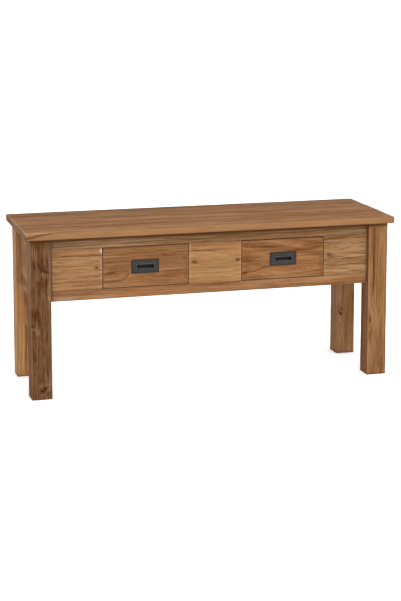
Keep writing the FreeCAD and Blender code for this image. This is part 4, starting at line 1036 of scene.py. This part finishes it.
# ---------------------------------------------------------------------------
# Drawers
# ---------------------------------------------------------------------------
M_DRAWER = {
    "left": wood("Teak_Left_Drawer_Front", "X", base=(129, 91, 59), d=40, spacing=6.0, late=0.5, streak=0.34,
                 seed=47.0, edge=0.35),
    "right": wood("Teak_Right_Drawer_Front", "X", base=(133, 93, 59), d=38, spacing=6.5, late=0.45, streak=0.30,
                  seed=50.0, edge=0.35),
}
M_INNER_A = wood("Inner_Wood_Boards", "Y", base=(176, 138, 96), d=40, spacing=8.0,
                 seed=53.0, rough=(0.6, 0.75), edge=0.25)
M_INNER_AX = wood("Inner_Wood_Crosswise", "X", base=(176, 138, 96), d=40, spacing=8.0,
                  seed=56.0, rough=(0.6, 0.75), edge=0.25)

ART = {
    "left": dict(
        pith=(46.0, -58.0), tilt=(0.02, 0.07), wob=((7.0, 240.0, 50.0), (1.6, 80.0, 16.0)),
        knots=[(-284, F0, 342, 24, 40, 12, 0), (-305, F0, 368, 10, 20, 9, 0)],
        lines=[(((-325, F0, 326), (-305, F0, 325.5), (-288, F0, 326), (-272, F0, 330), (-259, F0, 336), (-253, F0, 343), (-256, F0, 350)),
                1.9, (0.70, 0.61, 0.50), 0.9),
               (((-310, F0, 336), (-292, F0, 335), (-276, F0, 338)), 1.2, (0.86, 0.80, 0.76), 0.8),
               (((-322, F0, 346), (-308, F0, 348), (-296, F0, 353), (-284, F0, 357), (-272, F0, 353), (-258, F0, 356), (-245, F0, 355)),
                3.0, (0.76, 0.69, 0.62), 0.75),
               (((-300, F0, 352), (-286, F0, 355)), 3.8, (0.72, 0.64, 0.56), 0.85),
               (((-318, F0, 362), (-306, F0, 360), (-294, F0, 364), (-286, F0, 372)), 1.6, (0.78, 0.72, 0.66), 0.8),
               (((-324, F0, 403), (-290, F0, 402), (-250, F0, 400)), 1.4, (0.82, 0.74, 0.62), 0.8),
               (((-320, F0, 385), (-280, F0, 383), (-248, F0, 382)), 1.4, (0.80, 0.74, 0.66), 0.75),
               (((-245, F0, 398), (-200, F0, 397), (-165, F0, 396), (-140, F0, 395), (-112, F0, 396)), 1.7, (0.80, 0.68, 0.56), 0.85),
               (((-158, F0, 396), (-134, F0, 395)), 2.2, (0.74, 0.60, 0.50), 0.8),
               (((-150, F0, 352), (-122, F0, 349), (-100, F0, 351)), 1.8, (0.76, 0.66, 0.62), 0.7),
               (((-288, F0, 322), (-250, F0, 321), (-210, F0, 322)), 1.4, (0.86, 0.80, 0.72), 0.75),
               (((-150, F0, 336), (-110, F0, 340), (-84, F0, 337)), 1.6, (0.82, 0.74, 0.68), 0.7)],
        paint=[(-284, F0, 342, 22, 10, 6, (1.10, 1.07, 1.0), 0.85), (-308, F0, 372, 14, 10, 5, (1.10, 1.06, 1.0), 0.8),
               (-200, F0, 414, 60, 10, 8, (0.94, 0.95, 0.80), 0.8), (-300, F0, 414, 24, 10, 8, (0.96, 0.92, 0.92), 0.7),
               (-205, F0, 394, 44, 10, 4, (1.14, 1.05, 0.98), 0.85), (-304, F0, 350, 16, 10, 6, (0.78, 0.72, 0.68), 0.8),
               (-240, F0, 337, 12, 10, 5, (1.16, 1.06, 0.78), 0.9), (-205, F0, 331, 34, 10, 8, (1.06, 1.0, 0.84), 0.8),
               (-225, F0, 316, 30, 10, 5, (1.04, 0.94, 0.78), 0.8), (-120, F0, 350, 44, 10, 24, (0.97, 0.91, 0.90), 0.8),
               (-140, F0, 316, 40, 10, 7, (1.04, 0.99, 0.97), 0.6), (-86, F0, 385, 4, 10, 3.4, (0.74, 0.62, 0.56), 0.85),
               (-79, F0, 350, 4, 10, 60, (0.90, 0.88, 0.74), 0.8), (-296, F0, 396, 34, 10, 5, (1.05, 1.04, 1.02), 0.7),
               (-284, F0, 315, 34, 10, 5, (1.08, 1.03, 1.0), 0.7)],
        lk=0.85, seed=47.0),
    "right": dict(
        pith=(60.0, -160.0), tilt=(0.0, -0.20), wob=((7.0, 260.0, 60.0), (1.8, 80.0, 18.0)),
        knots=[(94, F0, 330, 8, 26, 12, 0), (150, F0, 368, 10, 30, 18, 0), (280, F0, 396, 7, 50, 12, 0)],
        lines=[(((90, F0, 329), (106, F0, 331), (128, F0, 333), (146, F0, 339), (166, F0, 347)), 2.2, (0.64, 0.54, 0.44), 0.95),
               (((128, F0, 330), (142, F0, 333), (160, F0, 341)), 1.3, (1.10, 1.08, 1.02), 0.7),
               (((140, F0, 330), (141, F0, 320), (141.5, F0, 311)), 1.5, (0.80, 0.72, 0.64), 0.85),
               (((92, F0, 372), (110, F0, 369), (140, F0, 362)), 1.6, (0.78, 0.68, 0.60), 0.8),
               (((104, F0, 350), (124, F0, 355), (146, F0, 352)), 1.4, (0.82, 0.74, 0.68), 0.7),
               (((90, F0, 411), (104, F0, 406), (112, F0, 404), (140, F0, 405), (170, F0, 402)), 1.6, (0.74, 0.66, 0.58), 0.85),
               (((96, F0, 418), (110, F0, 412), (126, F0, 410)), 1.4, (0.80, 0.74, 0.66), 0.8),
               (((92, F0, 396), (120, F0, 392), (150, F0, 394), (176, F0, 396)), 1.4, (0.80, 0.72, 0.66), 0.75),
               (((150, F0, 405), (190, F0, 402), (226, F0, 405), (250, F0, 402)), 1.5, (0.76, 0.66, 0.56), 0.8),
               (((244, F0, 393), (268, F0, 391), (290, F0, 391), (312, F0, 394), (336, F0, 399)), 3.0, (0.66, 0.56, 0.42), 0.9),
               (((270, F0, 402), (296, F0, 404), (336, F0, 408)), 1.8, (0.70, 0.60, 0.50), 0.85),
               (((256, F0, 372), (290, F0, 374), (334, F0, 378)), 1.5, (0.84, 0.78, 0.70), 0.75),
               (((256, F0, 354), (300, F0, 357), (336, F0, 356)), 1.4, (0.84, 0.78, 0.70), 0.7),
               (((230, F0, 316), (270, F0, 322), (336, F0, 328)), 1.3, (0.86, 0.80, 0.72), 0.75),
               (((300, F0, 338), (301, F0, 332)), 2.2, (0.72, 0.62, 0.50), 0.8)],
        paint=[(160, F0, 369, 9, 10, 9, (1.14, 1.0, 0.78), 0.95), (96, F0, 330, 9, 10, 4.5, (0.64, 0.52, 0.44), 0.9),
               (101, F0, 365, 16, 10, 36, (0.92, 0.86, 0.84), 0.8), (100, F0, 316, 14, 10, 5, (1.10, 1.08, 1.0), 0.8),
               (120, F0, 412, 26, 10, 6, (1.03, 1.0, 0.96), 0.6), (290, F0, 376, 44, 10, 9, (1.04, 1.02, 0.96), 0.6),
               (240, F0, 330, 90, 10, 14, (1.10, 1.08, 1.0), 0.8), (310, F0, 350, 30, 10, 24, (1.06, 1.03, 0.94), 0.7),
               (150, F0, 386, 30, 10, 8, (1.06, 0.98, 0.92), 0.7), (190, F0, 414, 50, 10, 6, (1.05, 1.0, 0.90), 0.7),
               (290, F0, 414, 40, 10, 6, (1.02, 1.0, 0.86), 0.7), (330, F0, 342, 5, 10, 46, (0.90, 0.90, 0.74), 0.8)],
        lk=0.72, seed=50.0),
}
PULL_X = {}
for d in ("left", "right"):
    lo, hi = cad("%s_drawer_front" % d)
    p0, p1 = cad("%s_drawer_pull" % d)
    PULL_X[d] = ((p0[0] + p1[0]) / 2, (p0[2] + p1[2]) / 2)
    px, pz = PULL_X[d]
    s_l0, s_l1 = cad("%s_drawer_left_side" % d)
    s_r0, s_r1 = cad("%s_drawer_right_side" % d)
    b_0, b_1 = cad("%s_drawer_bottom" % d)
    a = ART[d]
    # painted shade in the gaps round the drawer front, deepest under the upper rail; darker round the pull plate
    drawer_front_darkening = [(lo[0] - 1, -150, 300, lo[0] + 0.1, -140, 430, 1.0, 0.30), (hi[0] - 0.1, -150, 300, hi[0] + 1, -140, 430, 0.9, 0.0 if d == "left" else 0.3),
                 (lo[0], -150, hi[2] - 0.1, hi[0], -140, 430, 1.2, 0.6), (lo[0], -150, 300, hi[0], -140, lo[2] + 0.1, 1.0, 0.2),
                 (px - 40, -150, pz - 19.5, px + 40, -140, pz + 19.5, 1.6, 0.6)]
    board("%s_drawer_face" % d, "%s_drawer_front" % d, "X", M_DRAWER[d], r=1.0, step=(4.2, 5.0, 3.4),
          add=[(*lo, *hi)],
          cut=[(lo[0] - 1, s_l0[1], lo[2] - 1, s_l1[0], hi[1] + 1, s_l1[2]),
               (s_r0[0], s_l0[1], lo[2] - 1, hi[0] + 1, hi[1] + 1, s_r1[2]),
               (b_0[0], b_0[1], b_0[2], b_1[0], hi[1] + 1, b_1[2]),
               (px - 31.5, F0 - 1, pz - 12.5, px + 31.5, F0 + 13, pz + 12.5)],
          fine=((), (), ()), relief=0.24, wear=0.5, dirt=drawer_front_darkening, **a)
    for side in ("left", "right"):
        board("%s_drawer_%s_board" % (d, side), "%s_drawer_%s_side" % (d, side), "Y", M_INNER_A, r=1.2,
              step=(4, 7, 6), pith=(90.0 if side == "left" else -60.0, 30.0), seed=60.0 + len(d) + len(side),
              relief=0.12, wear=0.3)
    board("%s_drawer_rear_board" % d, "%s_drawer_back" % d, "X", M_INNER_AX, r=1.0, step=(7, 4, 6),
          pith=(70.0, -40.0), seed=70.0 + len(d), relief=0.12, wear=0.3)


# ---------------------------------------------------------------------------
# Pulls: plate, raised lip, finger slot and cup
# ---------------------------------------------------------------------------
def rrect(w, h, r, nl=20, ns=8, nc=5):
    """Points of a rounded rectangle, anticlockwise, the same number for any size."""
    r = min(r, w / 2 - 0.01, h / 2 - 0.01)
    pts = []
    cs = [(w / 2 - r, -h / 2 + r, -90), (w / 2 - r, h / 2 - r, 0), (-w / 2 + r, h / 2 - r, 90), (-w / 2 + r, -h / 2 + r, 180)]
    for q, (cx, cz, a0) in enumerate(cs):
        for k in range(nc):
            a = math.radians(a0 + 90.0 * k / (nc - 1))
            pts.append((cx + r * math.cos(a), cz + r * math.sin(a)))
        nx, nz, na = cs[(q + 1) % 4]
        a1 = math.radians(na)
        end = (nx + r * math.cos(a1), nz + r * math.sin(a1))
        n = ns if q in (0, 2) else nl
        for k in range(1, n):
            t = k / n
            x0, z0 = pts[-1] if k == 1 else start
            if k == 1:
                start = pts[-1]
                x0, z0 = start
            pts.append((x0 + (end[0] - x0) * t, z0 + (end[1] - z0) * t))
    return pts


def make_pull(d, mat):
    px, pz = PULL_X[d]
    f = F0
    # rows: width, height, corner radius, depth, rubbed edge with painted highlight, painted shade in slot and cup with
    # dark plate rim
    L = [(63, 25, 4, f + 13.0, 0, 1), (63, 25, 4, f + 0.2, 0, 1), (79.6, 38.6, 2, f + 0.1, 0, 0.9),
         (80, 39, 2, f - 0.4, 0, 0.9), (80, 39, 2, f - 1.1, 0, 0.85), (79.4, 38.4, 1.9, f - 1.7, 0, 0.75),
         (78.0, 37.0, 1.7, f - 2.0, 0, 0.75), (74, 33, 1.5, f - 2.0, 0, 0.42), (70, 29, 1.5, f - 1.85, 0.05, 0.0),
         (65, 24.6, 1.5, f - 1.8, 0.12, 0.0), (60, 20.4, 2.2, f - 1.9, 0.1, 0.15), (57.4, 18.2, 2.5, f - 1.9, 0, 0.4),
         (56.5, 17.4, 2.6, f - 2.1, 0.2, 0.2), (56, 17, 2.6, f - 2.7, 0.6, 0), (55.3, 16.3, 2.5, f - 3.3, 0.9, 0),
         (54, 15, 2.3, f - 3.6, 0.8, 0), (52, 13, 2.2, f - 3.6, 0.6, 0), (50.4, 11.4, 2.0, f - 3.3, 0.7, 0),
         (49.3, 10.3, 2.0, f - 2.6, 0.2, 0.4), (49, 10, 2.0, f - 1.6, 0, 0.9), (49, 10, 2.0, f - 0.2, 0, 1),
         (60, 22, 2.5, f + 0.1, 0, 1), (60, 22, 2.5, f + 6.0, 0, 1), (58.5, 20.5, 3.0, f + 11.0, 0, 1), (54, 16, 3.0, f + 11.5, 0, 1)]
    V, rub_and_highlight, slot_shade_dark_rim = [], [], []
    rs = np.random.RandomState(3 if d == "left" else 4)
    for w, h, r, y, e, k in L:
        for x, z in rrect(w, h, r):
            V.append((px + x, y, pz + z))
            rub_and_highlight.append(e)
            slot_shade_dark_rim.append(k)
    V = np.array(V)
    n = len(rrect(80, 39, 2))
    dent = 0.12 * fbm(V / 14.0, 5 if d == "left" else 9, 2)
    V[:, 1] += np.where(V[:, 1] < f - 1.0, np.abs(dent), 0.0)
    rub_and_highlight = np.array(rub_and_highlight) * np.clip(0.75 + 0.6 * fbm(V / 9.0, 31, 2), 0.25, 1)
    faces = []
    for a in range(len(L) - 1):
        for k in range(n):
            k2 = (k + 1) % n
            faces.append((a * n + k, a * n + k2, (a + 1) * n + k2, (a + 1) * n + k))
    # end caps: strips across the flat floor of the cup and its back
    Vl = [tuple(v) for v in V]
    tri = []
    for base, y, flip in ((0, f + 13.0, True), ((len(L) - 1) * n, f + 11.5, False)):
        c = len(Vl)
        Vl.append((px, y, pz))
        for k in range(n):
            k2 = (k + 1) % n
            tri.append((base + k2, base + k, c) if flip else (base + k, base + k2, c))
    me = bpy.data.meshes.new("%s_pull_mesh" % d)
    me.from_pydata([Vector(v) * MM for v in Vl], [], [tuple(q) for q in faces] + tri)
    me.validate()
    me.update()
    for p in me.polygons:
        p.use_smooth = True
    rub_and_highlight = np.r_[rub_and_highlight, [0, 0]]
    slot_shade_dark_rim = np.array(slot_shade_dark_rim, float)
    # painted shade at both ends of the finger slot
    ends = np.exp(-((np.abs(V[:, 0] - px) - 23.5) / 2.6) ** 4 - ((V[:, 2] - pz) / 7.5) ** 4)
    slot_shade_dark_rim = np.r_[np.maximum(slot_shade_dark_rim, 0.85 * ends), [1, 1]]
    set_float(me, "rub_and_highlight", rub_and_highlight)
    set_float(me, "slot_shade_dark_rim", slot_shade_dark_rim)
    me.materials.append(mat)
    ob = bpy.data.objects.new("%s_flush_pull" % d, me)
    bpy.context.scene.collection.objects.link(ob)
    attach(ob, "%s_drawer" % d)
    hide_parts("%s_drawer_pull" % d)
    return ob


for d, s in (("left", 1.0), ("right", 6.0)):
    make_pull(d, iron("Blackened_Iron_%s" % d, seed=s))

# ---------------------------------------------------------------------------
# CAD nodes that stay: their own materials
# ---------------------------------------------------------------------------
M_INNER = {}
for g in "XYZ":
    M_INNER[g] = wood("Inner_Wood_%s" % g, g, base=(176, 138, 96), d=40, spacing=8.0,
                      seed=80.0 + ord(g), rough=(0.6, 0.75), attrs=False)
M_PLY = wood("Drawer_Bottom_Panel", "X", base=(190, 156, 112), d=30, spacing=18.0,
             seed=90.0, rough=(0.6, 0.75), attrs=False, pith=(0.3, 0.4))
M_STEEL = steel("Zinc_Screw_Steel")
M_IRON = iron("Blackened_Iron_Pins", seed=9.0, attrs=False)
M_PEG = wood("Dark_Peg_Wood", "Y", base=(92, 60, 40), d=26, spacing=2.4, seed=95.0,
             attrs=False, pith=(0.02, 0.02))
for name, ob in NODES.items():
    if ob.hide_render:
        continue
    if name.endswith("_screws"):
        m = M_STEEL
    elif name.endswith("_pins"):
        m = M_IRON
    elif name == "guide_pegs":
        m = M_PEG
    elif name.endswith("_bottom"):
        m = M_PLY
    elif "runner" in name or "guide" in name or "kicker" in name or "cleat" in name:
        m = M_INNER["Y"]
    elif "corner_block" in name:
        m = M_INNER["Z"]
    else:
        m = M_INNER["X"]
    if len(ob.data.materials) == 0:
        ob.data.materials.append(m)
    for q in range(len(ob.material_slots)):
        ob.material_slots[q].material = m

# ---------------------------------------------------------------------------
# Stage, light and camera
# ---------------------------------------------------------------------------
scene = bpy.context.scene
me = bpy.data.meshes.new("Floor")
me.from_pydata([(-9, -9, 0), (9, -9, 0), (9, 9, 0), (-9, 9, 0)], [], [(0, 1, 2, 3)])
floor = bpy.data.objects.new("Floor", me)
scene.collection.objects.link(floor)
t = Tree("Floor_Paper")
co = t.node("ShaderNodeTexCoord").outputs["Object"]
nf = t.noise(t.vmath("MULTIPLY", co, (3, 3, 3)), detail=2)
t.put(t.p.inputs["Base Color"], t.ramp(nf, [(0.0, (0.93, 0.93, 0.93)), (1.0, (0.95, 0.95, 0.95))]))
t.p.inputs["Roughness"].default_value = 0.95
t.p.inputs["Specular IOR Level"].default_value = 0.1
t.p.inputs["Emission Color"].default_value = (1.0, 1.0, 1.0, 1.0)
t.p.inputs["Emission Strength"].default_value = 0.22
me.materials.append(t.m)

world = bpy.data.worlds.new("Studio_White")
scene.world = world
world.use_nodes = True
bg = world.node_tree.nodes["Background"]
bg.inputs[0].default_value = (1.0, 1.0, 1.0, 1.0)
bg.inputs[1].default_value = 1.25


def area(name, loc, target, size, power, colour=(1, 1, 1)):
    li = bpy.data.lights.new(name, "AREA")
    li.shape = "RECTANGLE"
    li.size, li.size_y = size
    li.energy = power
    li.color = colour
    ob = bpy.data.objects.new(name, li)
    scene.collection.objects.link(ob)
    ob.location = loc
    ob.rotation_euler = (Vector(target) - Vector(loc)).to_track_quat("-Z", "Y").to_euler()
    return ob


area("Key_Softbox", (0.5, -3.6, 1.9), (0.0, 0.0, 0.3), (2.4, 1.8), 95.0)

cam_data = bpy.data.cameras.new("Camera")
cam_data.sensor_width = 36.0
cam_data.sensor_fit = "AUTO"
cam_data.lens = 1564.28 / 601.0 * 36.0
cam_data.shift_x = 0.0
cam_data.shift_y = -0.2005
cam_data.clip_start = 0.05
cam_data.dof.use_dof = False
cam = bpy.data.objects.new("Camera", cam_data)
scene.collection.objects.link(cam)
cam.location = (-1.2336, -4.4070, 1.26268)
cam.rotation_euler = (math.radians(90 - 8.41), 0.0, math.radians(-15.68))
scene.camera = cam
scene.view_settings.view_transform = "Standard"
scene.view_settings.look = "None"
